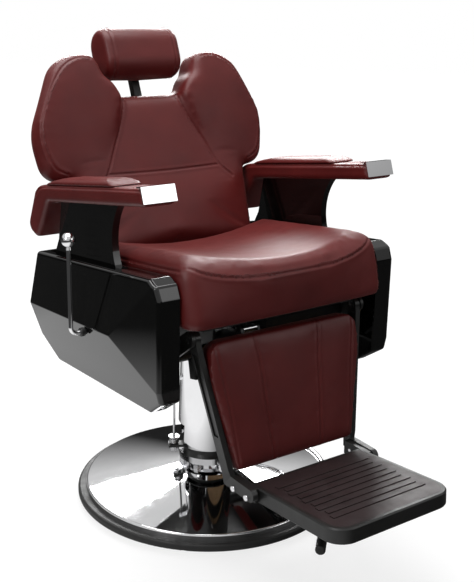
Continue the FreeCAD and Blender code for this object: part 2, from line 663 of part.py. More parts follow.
bracket_arm = padded("bracket_arm", "YZ_Plane", [
    ("leg_pivot_y - 6", "leg_pivot_z - bracket_radius + 1"),
    (FRONT_TUBE_Y + " - 4", "tube_z - tube_radius - 8"),
    (FRONT_TUBE_Y + " + tube_radius + 8", "tube_z"),
    (FRONT_TUBE_Y + " + 6", "tube_z + tube_radius + 8"),
    ("leg_pivot_y + 6", "leg_pivot_z + bracket_radius - 1")],
    "-bracket_place - bracket_thickness", "bracket_thickness")
bracket_eye = cross_cylinder("bracket_eye", "bracket_radius", "-bracket_place - bracket_thickness",
                             "-bracket_place", "leg_pivot_y", "leg_pivot_z")
hinge_bracket_r = cut("hinge_bracket_r", fuse("bracket_blank", [bracket_arm, bracket_eye]), [
    tube_cutter("bracket_tube_bore", FRONT_TUBE_Y),
    tube_cutter("bracket_pin_bore", "leg_pivot_y", "pin_radius", "leg_pivot_z")])
hinge_bracket_l = mirrored("hinge_bracket_l", hinge_bracket_r)

link_beam = box("link_beam", ("beam_start", "beam_front", "beam_low"),
                ("bracket_place - beam_start", "beam_depth", "beam_height"))

PIN_SPANS = [("leg_bar_place + seat_gap", "bracket_place + bracket_thickness",
              "leg_pivot_y", "leg_pivot_z"),
             ("back_bracket_place + seat_gap", "side_frame_place + side_frame_thickness",
              "pivot_y", "pivot_z")]
pins = []
for number, (inner, outer, y, z) in enumerate(PIN_SPANS):
    right_pin = cross_cylinder("right_pin_%d" % number, "pin_radius", "-(%s)" % outer,
                               "-(%s)" % inner, y, z)
    pins += [right_pin, mirrored("left_pin_%d" % number, right_pin)]
pivot_pins = group("pivot_pins", pins)

# Seat: board and cushion, both tilted back about the cushion's front lower edge

SEAT_PLACE = Placement(Vector(0, size("seat_front"), size("seat_low")),
                       Rotation(Vector(1, 0, 0), -size("seat_tilt")))


def seat_board_shape():
    half = size("board_half_width")
    start = size("board_front_inset")
    end = size("seat_depth") - size("board_rear_inset")
    return Part.makeBox(2 * half, end - start, size("board_thickness"),
                        Vector(-half, start, -size("board_thickness")))


def seat_cushion_shape():
    """Boxed cushion: its front bows out towards the top seam, and its top is dished between its sides."""
    half = size("seat_half_width")
    deep = size("seat_depth")
    tall = size("seat_thickness")
    crown = size("seat_crown")
    corner = size("seat_corner")
    gap = size("seat_gap")

    def corners(height):
        share = min(height / tall, 1)
        side = size("seat_top_sweep") * share
        middle = size("seat_bow") + (size("seat_top_bow") - size("seat_bow")) * share
        return [(-half, side), (0, -middle), (half, side), (half, deep), (-half, deep)]

    radii = [corner, 600, corner, 24, 24]
    layers = [(gap, 10), (6, 3), (18, 0.5), (tall * 0.5, 0), (tall - 24, 1.5), (tall - 12, 4.5),
              (tall - 3, 10), (tall + crown * 0.35, 17), (tall + crown * 0.75, 26),
              (tall + crown, 38)]
    full = stacked(corners, radii, layers)
    dish = size("seat_dish")
    fall = size("seat_dish_fall")
    radius = (half * half + dish * dish) / (2 * dish)
    hollow = Part.makeCylinder(radius, 3 * deep,
                               Vector(0, -deep, tall + crown - dish + 2 * fall + radius),
                               Vector(0, deep, -fall))
    return full.cut(hollow)


seat_board = feature("seat_board", seat_board_shape(), SEAT_PLACE)
seat_cushion = feature("seat_cushion", seat_cushion_shape(), SEAT_PLACE)

# Side covers: faceted shells, open towards the seat

COVER_SIDE = [(263, 598), (-246, 651), (-272, 640), (-284, 612), (-284, 392), (-226, 352),
              (190, 340), (253, 394), (271, 473)]
RIDGE_REAR = Vector(345, 271, 473)
RIDGE_FRONT = Vector(345, -121, 500)
FOOT_FRONT = Vector(306, -226, 352)
FRONT_EDGE = Vector(320, -284, 500)
TOP_FRONT = Vector(FRONT_EDGE.x + 26 / 163 * (RIDGE_FRONT.x - FRONT_EDGE.x) - 3, -258, 653)


def trimmed(solid, corner, second, third, inset):
    """Cut away what lies outside the plane through three points, moved inwards."""
    normal = (second - corner).cross(third - corner).normalize()
    if normal.x < 0:
        normal = normal * -1
    reach = 900
    block = Part.makeBox(2 * reach, 2 * reach, reach, Vector(-reach, -reach, 0))
    block.Placement = Placement(corner - normal * inset, Rotation(Vector(0, 0, 1), normal))
    return solid.cut(block)


def cover_solid(inset):
    """Faceted left-hand cover as a full solid, all outer faces moved inwards."""
    shift = Vector(size("cover_outer") - RIDGE_REAR.x, 0, 0)
    corners = inset_corners([Vector(y, z, 0) for y, z in COVER_SIDE], inset)
    ring = [Vector(size("cover_inner"), point.x, point.y) for point in corners]
    face = Part.Face(Part.makePolygon(ring + ring[:1]))
    solid = face.extrude(Vector(size("cover_outer") - size("cover_inner") - inset, 0, 0))
    facets = [(RIDGE_REAR, RIDGE_FRONT, TOP_FRONT), (RIDGE_REAR, RIDGE_FRONT, FOOT_FRONT),
              (RIDGE_FRONT, FRONT_EDGE, FRONT_EDGE + Vector(0, 0, 50))]
    for facet in facets:
        solid = trimmed(solid, *[point + shift for point in facet], inset)
    return solid


def cover_shell():
    inner = size("cover_inner")
    outside = cover_solid(0)
    edges = [edge for edge in outside.Edges if edge.BoundBox.XMax > inner + 1]
    outside = outside.makeFillet(size("side_round"), edges)
    inside = cover_solid(size("side_wall"))
    inside.translate(Vector(-0.01, 0, 0))
    slot_low = size("panel_place") - size("seat_gap")
    slot = Part.makeBox(size("panel_thickness") + 2 * size("seat_gap"), 345, 200,
                        Vector(slot_low, size("panel_front") - 12, size("panel_foot") - 4))
    return outside.cut(inside).cut(slot)


cover_left = cover_shell()
cover_right = cover_left.mirror(Vector(), Vector(1, 0, 0))
lever_hole = Part.makeCylinder(size("lever_shaft_radius") + 1, PAST_ALL / 2,
                               Vector(-PAST_ALL / 2, size("lever_y"), size("lever_z")),
                               Vector(1, 0, 0))
side_cover_l = feature("side_cover_l", cover_left)
side_cover_r = feature("side_cover_r", cover_right.cut(lever_hole))

# Arms: louvred panel, padded arm with its elbow hump, and chrome end cap

ARM_SLOPE = "tan(arm_tilt * 1 deg)"


def arm_underside(y):
    """Height of the arm pad's underside above a place along Y."""
    return ("arm_front_top - arm_thickness / cos(arm_tilt * 1 deg) - (%s - arm_front) * %s"
            % (y, ARM_SLOPE))


panel_blank = padded("panel_blank", "YZ_Plane", [
    ("panel_front", "panel_foot"), ("side_frame_rear", "panel_foot"), ("213", "panel_foot + 38"),
    ("189", "panel_foot + 80"), ("170", arm_underside("170") + " - seat_gap"),
    ("panel_front", arm_underside("panel_front") + " - seat_gap")],
    "-panel_place - panel_thickness", "panel_thickness")
panel_hollow = cross_cylinder("panel_hollow", "panel_hollow_radius",
                              "-panel_place - 2 * panel_thickness", "0",
                              "30 + panel_front - panel_hollow_radius", "panel_foot + 130")


def louvre(label, front, length, row, outer):
    """Slot cut into one face of the right-hand panel, in line with the arm."""
    slot = doc.addObject("Part::Box", label)
    slot.Placement = Placement(Vector(), Rotation(Vector(1, 0, 0), -size("arm_tilt")))
    start = "-panel_place - panel_thickness" if outer else "-panel_place - louvre_depth"
    tie(slot, Length="louvre_depth", Width=length, Height="louvre_height", Placement__Base__x=start,
        Placement__Base__y=front,
        Placement__Base__z="(%s) - 44 - louvre_pitch * %d" % (arm_underside(front), row))
    return slot


louvres = []
for row in range(6):
    for outer in (True, False):
        face = "outer" if outer else "inner"
        louvres.append(louvre("front_louvre_%d_%s" % (row, face), "-14", 64, row, outer))
        louvres.append(louvre("rear_louvre_%d_%s" % (row, face), "129", 24, row - 1, outer))
arm_panel_r = cut("arm_panel_r", panel_blank, [panel_hollow] + louvres)
arm_panel_l = mirrored("arm_panel_l", arm_panel_r)

ARM_PLACE = Placement(Vector(0, size("arm_front"), size("arm_front_top")),
                      Rotation(Vector(1, 0, 0), -size("arm_tilt")))


def lay_along_x(shape, start):
    """Turn a stack made along Z so that its outline lies in YZ and it grows along +X."""
    turned_shape = shape.copy()
    turned_shape.Placement = Placement(Vector(start, 0, 0),
                                       Rotation(Vector(0, 1, 0), Vector(0, 0, 1), Vector(1, 0, 0)))
    return turned_shape


def arm_pad_shape():
    """Padded arm: a long run with a flat tip and a tail that drops behind the seat."""
    thick = size("arm_thickness")
    long = size("arm_length")
    tip_slant = size("arm_slant")
    corners = [(-tip_slant, -thick), (long - 40, -thick), (long + 32, -126), (long + 80, -100),
               (long + 12, 0), (0, 0)]
    radii = [4, 22, 12, 22, 50, 4]
    edge = size("arm_round")
    wide = size("arm_width")
    layers = [(0, edge), (edge * 0.3, edge * 0.3), (edge, 0), (wide - edge, 0),
              (wide - edge * 0.3, edge * 0.3), (wide, edge)]
    return lay_along_x(stacked(corners, radii, layers), size("arm_inner"))


def elbow_pad_shape():
    """Raised hump on the rear two thirds of the arm, bevelled at its front."""
    side = size("elbow_side_inset")
    inner = size("arm_inner") + side
    outer = size("arm_inner") + size("arm_width") - side
    front = size("elbow_front_inset")
    rear = front + size("elbow_length")
    tall = size("elbow_height")
    bevel = size("elbow_bevel")

    def corners(height):
        """Front and rear slope in faster than the sides."""
        run = bevel * (height / tall) ** 1.5
        return [(inner, front + run), (outer, front + run), (outer, rear - 2.4 * run),
                (inner, rear - 2.4 * run)]

    radii = [12, 12, 20, 20]
    layers = [(0, 0), (tall * 0.3, 1), (tall * 0.6, 4), (tall * 0.85, 10), (tall, 18)]
    hump = stacked(corners, radii, layers)
    hump.translate(Vector(0, 0, size("seat_gap")))
    return hump


def arm_cap_shape():
    """Bent chrome plate on the arm's flat tip, with a narrow strip over its top edge."""
    wall = size("arm_cap_wall")
    gap = size("seat_gap")
    lip = size("arm_cap_lip")
    tall = size("arm_cap_drop")
    slant = size("arm_slant") / size("arm_thickness")
    front = [(-gap - wall, gap + wall), (lip, gap + wall), (lip, gap), (-gap, gap),
             (-gap - slant * tall, -tall), (-gap - wall - slant * tall, -tall)]
    ring = [Vector(0, y, z) for y, z in front]
    plate = Part.Face(Part.makePolygon(ring + ring[:1])).extrude(Vector(size("arm_width"), 0, 0))
    plate.translate(Vector(size("arm_inner"), 0, 0))
    return plate


arm_pad_l = feature("arm_pad_l", arm_pad_shape(), ARM_PLACE)
arm_pad_r = mirrored("arm_pad_r", arm_pad_l)
elbow_pad_l = feature("elbow_pad_l", elbow_pad_shape(), ARM_PLACE)
elbow_pad_r = mirrored("elbow_pad_r", elbow_pad_l)
arm_cap_l = feature("arm_cap_l", arm_cap_shape(), ARM_PLACE)
arm_cap_r = mirrored("arm_cap_r", arm_cap_l)

# Backrest: drawn in its own frame, X across, Y up the slope and Z out of the front face

BACK_PLACE = Placement(Vector(0, size("back_foot_y"), size("back_foot_z")),
                       Rotation(Vector(1, 0, 0), 90 - size("back_lean")))

# Half outline of the backrest with its corner radii, from the foot up to the headrest notch
BACK_DRAWN = (330, 505)
BACK_HALF = [(234, 0, 22), (250, 200, 6), (316, 208, 46), (330, 325, 130), (262, 482, 70),
             (206, 507, 60), (134, 505, 36), (122, 452, 12), (102, 436, 12), (86, 402, 16)]

# How far each of those corners is drawn in at the rear face
BACK_DRAW_IN = [(0, 0), (0, 0), (0, 0), (8, 4), (34, 16), (22, 18), (0, 14), (0, 0), (0, 0), (0, 0)]

# Half outline of one raised wing, inside the sewn centre panel's edge
WING_HALF = [(172, 212, 10), (304, 216, 44), (324, 325, 125), (258, 476, 68), (204, 500, 54),
             (140, 498, 30), (126, 446, 10), (104, 430, 10), (84, 392, 10), (98, 346, 60),
             (132, 278, 60)]


def back_points(drawn):
    """Outline points brought from the drawn width and height to the sheet's."""
    across = size("back_half_width") / BACK_DRAWN[0]
    up = size("back_height") / BACK_DRAWN[1]
    return [(x * across, y * up) for x, y, radius in drawn], [radius * up for x, y, radius in drawn]


def back_outline(height=0):
    """Outline and its radii at a height in the backrest's frame, narrower towards the rear."""
    share = min(max(-height / size("back_thickness"), 0), 1)
    drawn = [(x - share * aside, y - share * down, radius)
             for (x, y, radius), (aside, down) in zip(BACK_HALF, BACK_DRAW_IN)]
    half, radii = back_points(drawn)
    corners = half + [(-x, y) for x, y in reversed(half)]
    return corners, radii + radii[::-1]


def back_cushion_shape():
    """Cushion with raised wings, rounded sides, a sewn centre panel and a slot for the guide."""
    radii = back_outline()[1]
    edge = size("back_round")
    thick = size("back_thickness")
    crown = size("back_crown")
    layers = [(-thick, 32), (-thick + 6, 23), (-thick + 16, 13), (-thick + 30, 4), (-30, 0),
              (-16, 2), (-6, 10), (0, edge - 6), (crown * 0.7, edge + 10)]
    solid = stacked(lambda height: back_outline(height)[0], radii, layers)
    high = size("wing_height")
    slope = high / (size("wing_full") - size("wing_start"))
    wing = stacked(*back_points(WING_HALF),
                   [(-12, 0), (high * 0.45, 1), (high * 0.75, 6), (high * 0.92, 14), (high, 26)])
    run = size("wing_full") - size("wing_start")
    foot = size("wing_start") - run
    deep = -2 * high
    ramp = [Vector(0, foot, deep), Vector(0, PAST_ALL, deep), Vector(0, PAST_ALL, high + 1),
            Vector(0, size("wing_full"), high + 1), Vector(0, foot, 1 - slope * run)]
    below = Part.Face(Part.makePolygon(ramp + ramp[:1])).extrude(Vector(PAST_ALL, 0, 0))
    wing = wing.common(below)
    solid = solid.multiFuse([wing, wing.mirror(Vector(), Vector(1, 0, 0))])
    depth = crown * 0.7
    line, radii = back_points([(76, 394, 0), (92, 345, 0), (126, 275, 0), (162, 206, 0)])
    seam = [Vector(x, y, depth) for x, y in line]
    other = [Vector(-point.x, point.y, point.z) for point in seam]
    solid = solid.cut(seam_cutter(seam + other[::-1], 2.5))
    room = 2 * size("seat_gap")
    wide = size("post_width") + 2 * (size("slide_gap") + size("guide_wall")) + room
    deep = size("post_depth") + 2 * (size("slide_gap") + size("guide_wall")) + room
    slot = Part.makeBox(wide, PAST_ALL, deep, Vector(-wide / 2, size("guide_low") - 1,
                                                     -thick - size("seat_gap")))
    return solid.cut(slot).removeSplitter()


def back_board_shape():
    corners, radii = back_outline(-size("back_thickness"))
    inset = size("back_board_inset")
    low = -size("back_thickness") - size("seat_gap")
    thick = size("back_board_thickness")
    return stacked(corners, radii, [(low - thick, inset), (low, inset)])


back_cushion = feature("back_cushion", back_cushion_shape(), BACK_PLACE)
back_board = feature("back_board", back_board_shape(), BACK_PLACE)

BOARD_BACK = -size("back_thickness") - size("seat_gap") - size("back_board_thickness")
PIVOT_LOCAL = BACK_PLACE.inverse().multVec(Vector(0, size("pivot_y"), size("pivot_z")))


def back_bracket_shape():
    """Plate on edge behind the board, with an eye on the recline axis."""
    thick = size("back_bracket_thickness")
    start = size("back_bracket_place")
    pin = size("pin_radius")
    eye = pin + 12
    low, deep = PIVOT_LOCAL.y, PIVOT_LOCAL.z
    profile = [(low - eye + 4, deep + 8), (low - eye + 4, deep - 14), (low + 6, BOARD_BACK - 24),
               (size("back_bracket_length"), BOARD_BACK - 14),
               (size("back_bracket_length"), BOARD_BACK), (12, BOARD_BACK),
               (-2, BOARD_BACK), (-2, deep + 8)]
    ring = [Vector(start, y, z) for y, z in profile]
    plate = Part.Face(Part.makePolygon(ring + ring[:1])).extrude(Vector(thick, 0, 0))
    hub = Part.makeCylinder(eye - 4, thick, Vector(start, low, deep), Vector(1, 0, 0))
    bore = Part.makeCylinder(pin + size("running_gap"), thick + 20,
                             Vector(start - 10, low, deep), Vector(1, 0, 0))
    return plate.fuse(hub).cut(bore).removeSplitter()


back_bracket_l = feature("back_bracket_l", back_bracket_shape(), BACK_PLACE)
back_bracket_r = mirrored("back_bracket_r", back_bracket_l)


def crank_lug(start, pin_offset, pin_radius, tube_radius, thick, axis):
    """Flat lug from a cross tube's axis to a pin, along X from start."""
    pin = axis + pin_offset
    way = Vector(pin_offset).normalize()
    aside = Vector(0, -way.z, way.y)
    wide = tube_radius * 0.8
    narrow = pin_radius + 4
    ring = [axis + aside * wide, pin + aside * narrow, pin - aside * narrow, axis - aside * wide]
    ring = [point + Vector(start, 0, 0) for point in ring]
    plate = Part.Face(Part.makePolygon(ring + ring[:1])).extrude(Vector(thick, 0, 0))
    eye = Part.makeCylinder(narrow, thick, pin + Vector(start, 0, 0), Vector(1, 0, 0))
    return plate.fuse(eye)


CRANK = Vector(0, size("crank_y"), -size("crank_drop"))
BACK_AXIS = Vector(0, size("pivot_y"), size("pivot_z"))
LEG_AXIS = Vector(0, size("leg_pivot_y"), size("leg_pivot_z"))
HALF_TRAVEL = math.radians(size("recline_travel") / 2)
LOCK_CRANK = Vector(0, math.sin(HALF_TRAVEL), -math.cos(HALF_TRAVEL)) * size("lock_radius")


def pin_between_lugs(centre, width, offset, axis):
    """Two lugs and the pin between them, around a link of this width."""
    thick = size("crank_thickness")
    room = 1.5
    pin = size("link_pin_radius")
    left = centre - width / 2 - room - thick
    right = centre + width / 2 + room
    lugs = [crank_lug(start, offset, pin, size("back_tube_radius"), thick, axis)
            for start in (left, right)]
    shaft = Part.makeCylinder(pin, right + thick - left, axis + offset + Vector(left, 0, 0),
                              Vector(1, 0, 0))
    return lugs + [shaft]


def back_tube_shape():
    half = size("back_bracket_place")
    tube = Part.makeCylinder(size("back_tube_radius"), 2 * half, BACK_AXIS + Vector(-half, 0, 0),
                             Vector(1, 0, 0))
    parts = pin_between_lugs(size("link_centre"), size("link_width"), CRANK, BACK_AXIS)
    parts += pin_between_lugs(size("lock_x"), size("yoke_width"), LOCK_CRANK, BACK_AXIS)
    return tube.multiFuse(parts).removeSplitter()


back_tube = feature("back_tube", back_tube_shape())

# Headrest: padded roll on a flat post that slides in a guide behind the board

BOARD_FRONT = -size("back_thickness") - size("seat_gap")
POST_BACK = BOARD_FRONT + size("guide_wall") + size("slide_gap")


def headrest_guide_shape():
    """Square tube on the front of the board, open for the post."""
    wall = size("guide_wall")
    gap = size("slide_gap")
    wide = size("post_width") + 2 * gap
    deep = size("post_depth") + 2 * gap
    high = size("guide_length")
    low = size("guide_low")
    outer = Part.makeBox(wide + 2 * wall, high, deep + 2 * wall,
                         Vector(-wide / 2 - wall, low, BOARD_FRONT))
    inner = Part.makeBox(wide, high + 2, deep, Vector(-wide / 2, low - 1, BOARD_FRONT + wall))
    return outer.cut(inner)


def headrest_post_shape():
    """Square bar that runs up out of its guide and into the headrest."""
    wide = size("post_width")
    foot = size("headrest_low") + size("post_grip") - size("post_length")
    return Part.makeBox(wide, size("post_length"), size("post_depth"),
                        Vector(-wide / 2, foot, POST_BACK))


def headrest_pad_shape():
    """Rolled pad with drawn-in ends and a slot in its back for the post."""
    half = size("headrest_half_width")
    tall = size("headrest_height")
    deep = size("headrest_depth")
    low = size("headrest_low")
    front = size("headrest_front")
    corners = [(low, front - deep), (low + tall, front - deep), (low + tall, front), (low, front)]
    edge = size("headrest_round")
    radii = [edge, edge, edge, edge]
    layers = [(-half, 13), (-half + 4, 6), (-half + 12, 2), (-half + 30, 0), (0, -2),
              (half - 30, 0), (half - 12, 2), (half - 4, 6), (half, 13)]
    roll = lay_along_x(stacked(corners, radii, layers), 0)
    gap = size("seat_gap")
    wide = size("post_width") + 2 * gap
    slot = Part.makeBox(wide, size("post_grip") + gap + OVERRUN,
                        size("post_depth") + 2 * gap + size("headrest_depth"),
                        Vector(-wide / 2, low - OVERRUN, POST_BACK - gap - size("headrest_depth")))
    return roll.cut(slot)


headrest_guide = feature("headrest_guide", headrest_guide_shape(), BACK_PLACE)
headrest_post = feature("headrest_post", headrest_post_shape(), BACK_PLACE)
headrest_pad = feature("headrest_pad", headrest_pad_shape(), BACK_PLACE)

# Leg rest: side bars, cross tubes, board and pad, and the footplate with its tread


def bar_section(inner, centre_y, centre_z, along, depth, thick):
    """Rectangle across the bar, square to its run in the YZ plane."""
    across = Vector(0, -along.z, along.y).normalize() * (depth / 2)
    low = Vector(inner, centre_y, centre_z)
    wide = Vector(thick, 0, 0)
    ring = [low - across, low - across + wide, low + across + wide, low + across]
    return Part.makePolygon(ring + ring[:1])


def leg_bar_run(shift, thick, depth):
    """Loft down the leg bar, round its elbow and out to the end of its foot arm."""
    top = Vector(0, size("leg_pivot_y"), size("leg_pivot_z"))
    elbow = Vector(0, size("elbow_y"), size("elbow_z"))
    end = Vector(0, size("foot_end_y"), size("foot_end_z"))
    down = (elbow - top).normalize()
    ahead = (end - elbow).normalize()
    upper = size("leg_bar_place") + shift
    lower = size("leg_foot_place") + shift
    before = elbow - down * 26
    after = elbow + ahead * 24
    below = top + down * 18
    share = (before - below).Length / (elbow - below).Length
    sections = [
        bar_section(upper, top.y, top.z, down, depth, thick),
        bar_section(upper, below.y, below.z, down, depth, thick),
        bar_section(upper + (lower - upper) * share, before.y, before.z, down, depth, thick),
        bar_section(lower, elbow.y, elbow.z, down + ahead, depth * 1.25, thick),
        bar_section(lower, after.y, after.z, ahead, depth, thick),
        bar_section(lower, end.y, end.z, ahead, depth, thick)]
    return Part.makeLoft(sections, True, True)


def leg_bar_shape():
    """Left-hand bar, hollowed on its outer face like a shallow channel."""
    thick = size("leg_bar_thickness")
    depth = size("leg_bar_depth")
    bar = leg_bar_run(0, thick, depth)
    channel = leg_bar_run(thick - 3, thick, depth - 12)
    top_trim = Part.makeBox(200, 200, 200, Vector(150, size("leg_pivot_y") - 100,
                                                  size("leg_pivot_z") - 34))
    end_trim = Part.makeBox(200, 130, 200, Vector(150, size("foot_end_y") - 20,
                                                  size("foot_end_z") - 100))
    channel = channel.cut(top_trim).cut(end_trim)
    pin = size("pin_radius") + size("running_gap")
    place = Vector(size("leg_bar_place"), size("leg_pivot_y"), size("leg_pivot_z"))
    eye = Part.makeCylinder(depth / 2 + 1, thick, place, Vector(1, 0, 0))
    nose = Part.makeCylinder(depth / 2, thick, Vector(size("leg_foot_place"), size("foot_end_y"),
                                                      size("foot_end_z")), Vector(1, 0, 0))
    bore = Part.makeCylinder(pin, thick + 2 * OVERRUN, place - Vector(OVERRUN, 0, 0),
                             Vector(1, 0, 0))
    return bar.cut(channel).multiFuse([eye, nose]).cut(bore).removeSplitter()


leg_bar_l = feature("leg_bar_l", leg_bar_shape())
leg_bar_r = mirrored("leg_bar_r", leg_bar_l)


def bar_outer(z):
    """Distance of the bars' outer faces from the middle at a height."""
    share = (size("leg_pivot_z") - z) / (size("leg_pivot_z") - size("elbow_z"))
    inner = size("leg_bar_place") + share * (size("leg_foot_place") - size("leg_bar_place"))
    return inner + size("leg_bar_thickness")


# Pad frame: X across, Y up the pad and Z out of its front face, from the middle of its top edge
PAD_PLACE = Placement(Vector(0, size("pad_top_y"), size("pad_top_z")),
                      Rotation(Vector(1, 0, 0), 90 - size("pad_lean")))


def pad_outline(grow=0):
    top = size("pad_top_half") + grow
    foot = size("pad_foot_half") + grow / 2
    long = size("pad_length")
    corners = [(-foot, -long), (foot, -long), (top, -76), (top - 4, 0), (-top + 4, 0), (-top, -76)]
    return corners, [12, 12, 200, 34, 34, 200]


def leg_pad_shape():
    """Tapered pad with a rolled top and two sewn channels, which swells out in front of the bars."""
    corners, radii = pad_outline()
    thick = size("pad_thickness")
    crown = size("pad_crown")
    over = size("pad_overhang")
    free = -4.5

    def swollen(height):
        share = min(max((height - free) / 6, 0), 1)
        return pad_outline(over * share)[0]

    layers = [(-thick, 5), (-thick + 6, 1), (-thick + 16, 0), (free, 1), (free + 2, 1), (free + 6, 1),
              (0, 4), (crown * 0.5, 10), (crown * 0.85, 20), (crown, 40)]
    solid = stacked(swollen, radii, layers)
    seams = [[Vector(side * 82, -10, crown - 1), Vector(side * 72, -90, crown + 1),
              Vector(side * 60, -size("pad_length") + 12, crown - 1)] for side in (-1, 1)]
    for seam in seams:
        solid = solid.cut(seam_cutter(seam, 2.5))
    return solid


def leg_board_shape():
    corners, radii = pad_outline()
    low = -size("pad_thickness") - size("seat_gap")
    return stacked(corners, radii, [(low - size("leg_board_thickness"), 10), (low, 10)])


leg_pad = feature("leg_pad", leg_pad_shape(), PAD_PLACE)
leg_board = feature("leg_board", leg_board_shape(), PAD_PLACE)


# Plane of the bars' rear faces in the pad's frame, behind the crossbar's spacers
PIVOT_IN_PAD = PAD_PLACE.inverse().multVec(LEG_AXIS)
BAR_BACK = PIVOT_IN_PAD.z - size("leg_bar_depth") / 2


def leg_crossbar_shape():
    """Flat bar behind the board, on spacers against the leg bars, with the link's lugs."""
    back = -size("pad_thickness") - size("seat_gap") - size("leg_board_thickness")
    thick = size("crossbar_thickness")
    top = size("crossbar_top")
    deep = size("crossbar_depth")
    half = bar_outer(PAD_PLACE.multVec(Vector(0, top, back)).z)
    bar = Part.makeBox(2 * half, deep, thick, Vector(-half, top - deep, back - thick))
    parts = [bar]
    inner = size("pad_top_half") + 2
    for start in (-half, inner):
        profile = [(start, back), (start + half - inner, back),
                   (start + half - inner, BAR_BACK), (start, BAR_BACK)]
        ring = [Vector(x, top - deep, z) for x, z in profile]
        parts.append(Part.Face(Part.makePolygon(ring + ring[:1])).extrude(Vector(0, deep, 0)))
    bar = parts[0].multiFuse(parts[1:]).removeSplitter()
    bar.Placement = PAD_PLACE
    foot = PAD_PLACE.multVec(Vector(0, top - deep / 2, back - thick / 2))
    pin = LEG_AXIS + CRANK
    offset = pin - foot
    lugs = pin_between_lugs(size("link_centre"), size("link_width"), offset, foot)
    keep = Part.makeBox(PAST_ALL, PAST_ALL, PAST_ALL, Vector(-PAST_ALL / 2, -PAST_ALL / 2,
                                                             back - PAST_ALL))
    keep.Placement = PAD_PLACE
    lugs = [lug.common(keep) for lug in lugs]
    return bar.multiFuse(lugs).removeSplitter()


leg_crossbar = feature("leg_crossbar", leg_crossbar_shape())

FOOT_PLACE = Placement(Vector(0, size("plate_rear"), size("plate_top")),
                       Rotation(Vector(1, 0, 0), -size("plate_tilt")))


def plate_outline():
    rear = size("plate_rear_half")
    front = size("plate_front_half")
    long = size("plate_length")
    corners = [(-front, -long), (front, -long), (rear, 0), (-rear, 0)]
    return corners, [size("plate_corner"), size("plate_corner"), 10, 10]


def footplate_shape():
    """Cast plate with a raised rim, a hollow underside and an ear at each rear corner."""
    corners, radii = plate_outline()
    deep = size("plate_depth")
    rim = size("plate_rim")
    wall = size("plate_wall")
    tread = size("tread_depth")
    body = stacked(corners, radii, [(-deep, 2), (-deep + 3, 0), (-3, 0), (0, 2.5)])
    body = body.cut(stacked(corners, radii, [(-tread, rim), (1, rim)]))
    body = body.cut(stacked(corners, radii, [(-deep - 1, wall + 2), (-tread - wall, wall + 2)]))
    body.Placement = FOOT_PLACE
    ears = []
    inner = size("plate_rear_half") - 5
    for side in (-1, 1):
        start = inner if side > 0 else -size("leg_foot_place")
        ears.append(Part.makeBox(size("leg_foot_place") - inner,
                                 size("ear_rear") - size("ear_front"),
                                 size("ear_top") - size("ear_low"),
                                 Vector(start, size("ear_front"), size("ear_low"))))
    room = stacked(corners, radii, [(-tread, rim), (60, rim)])
    room.Placement = FOOT_PLACE
    bores = [Part.makeCylinder(size("foot_bolt_shank") + size("running_gap"), 500,
                               Vector(-250, y, z), Vector(1, 0, 0)) for y, z in FOOT_BOLTS]
    solid = body.multiFuse(ears).cut(room)
    for bore in bores:
        solid = solid.cut(bore)
    return solid.removeSplitter()


FOOT_BOLTS = [(-352, 195), (-398, 194)]


def foot_tread_shape():
    """Ribbed rubber mat in the plate's recess."""
    corners, radii = plate_outline()
    rim = size("plate_rim") + size("seat_gap")
    thick = size("tread_depth")
    high = size("tread_rib_height")
    mat = stacked(corners, radii, [(-thick, rim), (0, rim)])
    count = int(size("tread_ribs"))
    pitch = (size("plate_length") - 90) / count
    ribs = []
    for k in range(count):
        half = size("plate_front_half") - 34 - (6 if k % 2 else 0)
        ribs.append(Part.makeBox(2 * half, pitch * 0.62, high + 0.5,
                                 Vector(-half, -38 - pitch * (k + 1), -0.5)))
    return mat.multiFuse(ribs).removeSplitter()


def foot_bolt_shapes():
    """Two bolts on each side, through the leg bar's foot arm into the plate's ear."""
    bolts = []
    start = size("plate_rear_half") - 5
    outer = size("leg_foot_place") + size("leg_bar_thickness")
    for y, z in FOOT_BOLTS:
        for side in (-1, 1):
            way = Vector(side, 0, 0)
            shank = Part.makeCylinder(size("foot_bolt_shank"), outer - start + 1,
                                      Vector(side * start, y, z), way)
            head = Part.makeCylinder(size("foot_bolt_radius"), size("foot_bolt_height"),
                                     Vector(side * outer, y, z), way)
            rim = [edge for edge in head.Edges if abs(edge.BoundBox.XMin - edge.BoundBox.XMax) < 0.01
                   and abs(edge.BoundBox.XMin - side * (outer + size("foot_bolt_height"))) < 0.01]
            bolts.append(shank.fuse(head.makeFillet(2, rim)).removeSplitter())
    return Part.makeCompound(bolts)


footplate = feature("footplate", footplate_shape())
foot_tread = feature("foot_tread", foot_tread_shape(), FOOT_PLACE)
footplate_bolts = feature("footplate_bolts", foot_bolt_shapes())

bar_bores = [Part.makeCylinder(size("foot_bolt_shank") + size("running_gap"), 500,
                               Vector(-250, y, z), Vector(1, 0, 0)) for y, z in FOOT_BOLTS]
leg_bar_l.Shape = leg_bar_l.Shape.cut(bar_bores[0]).cut(bar_bores[1])

# Push link between the backrest's crank and the leg rest's crank


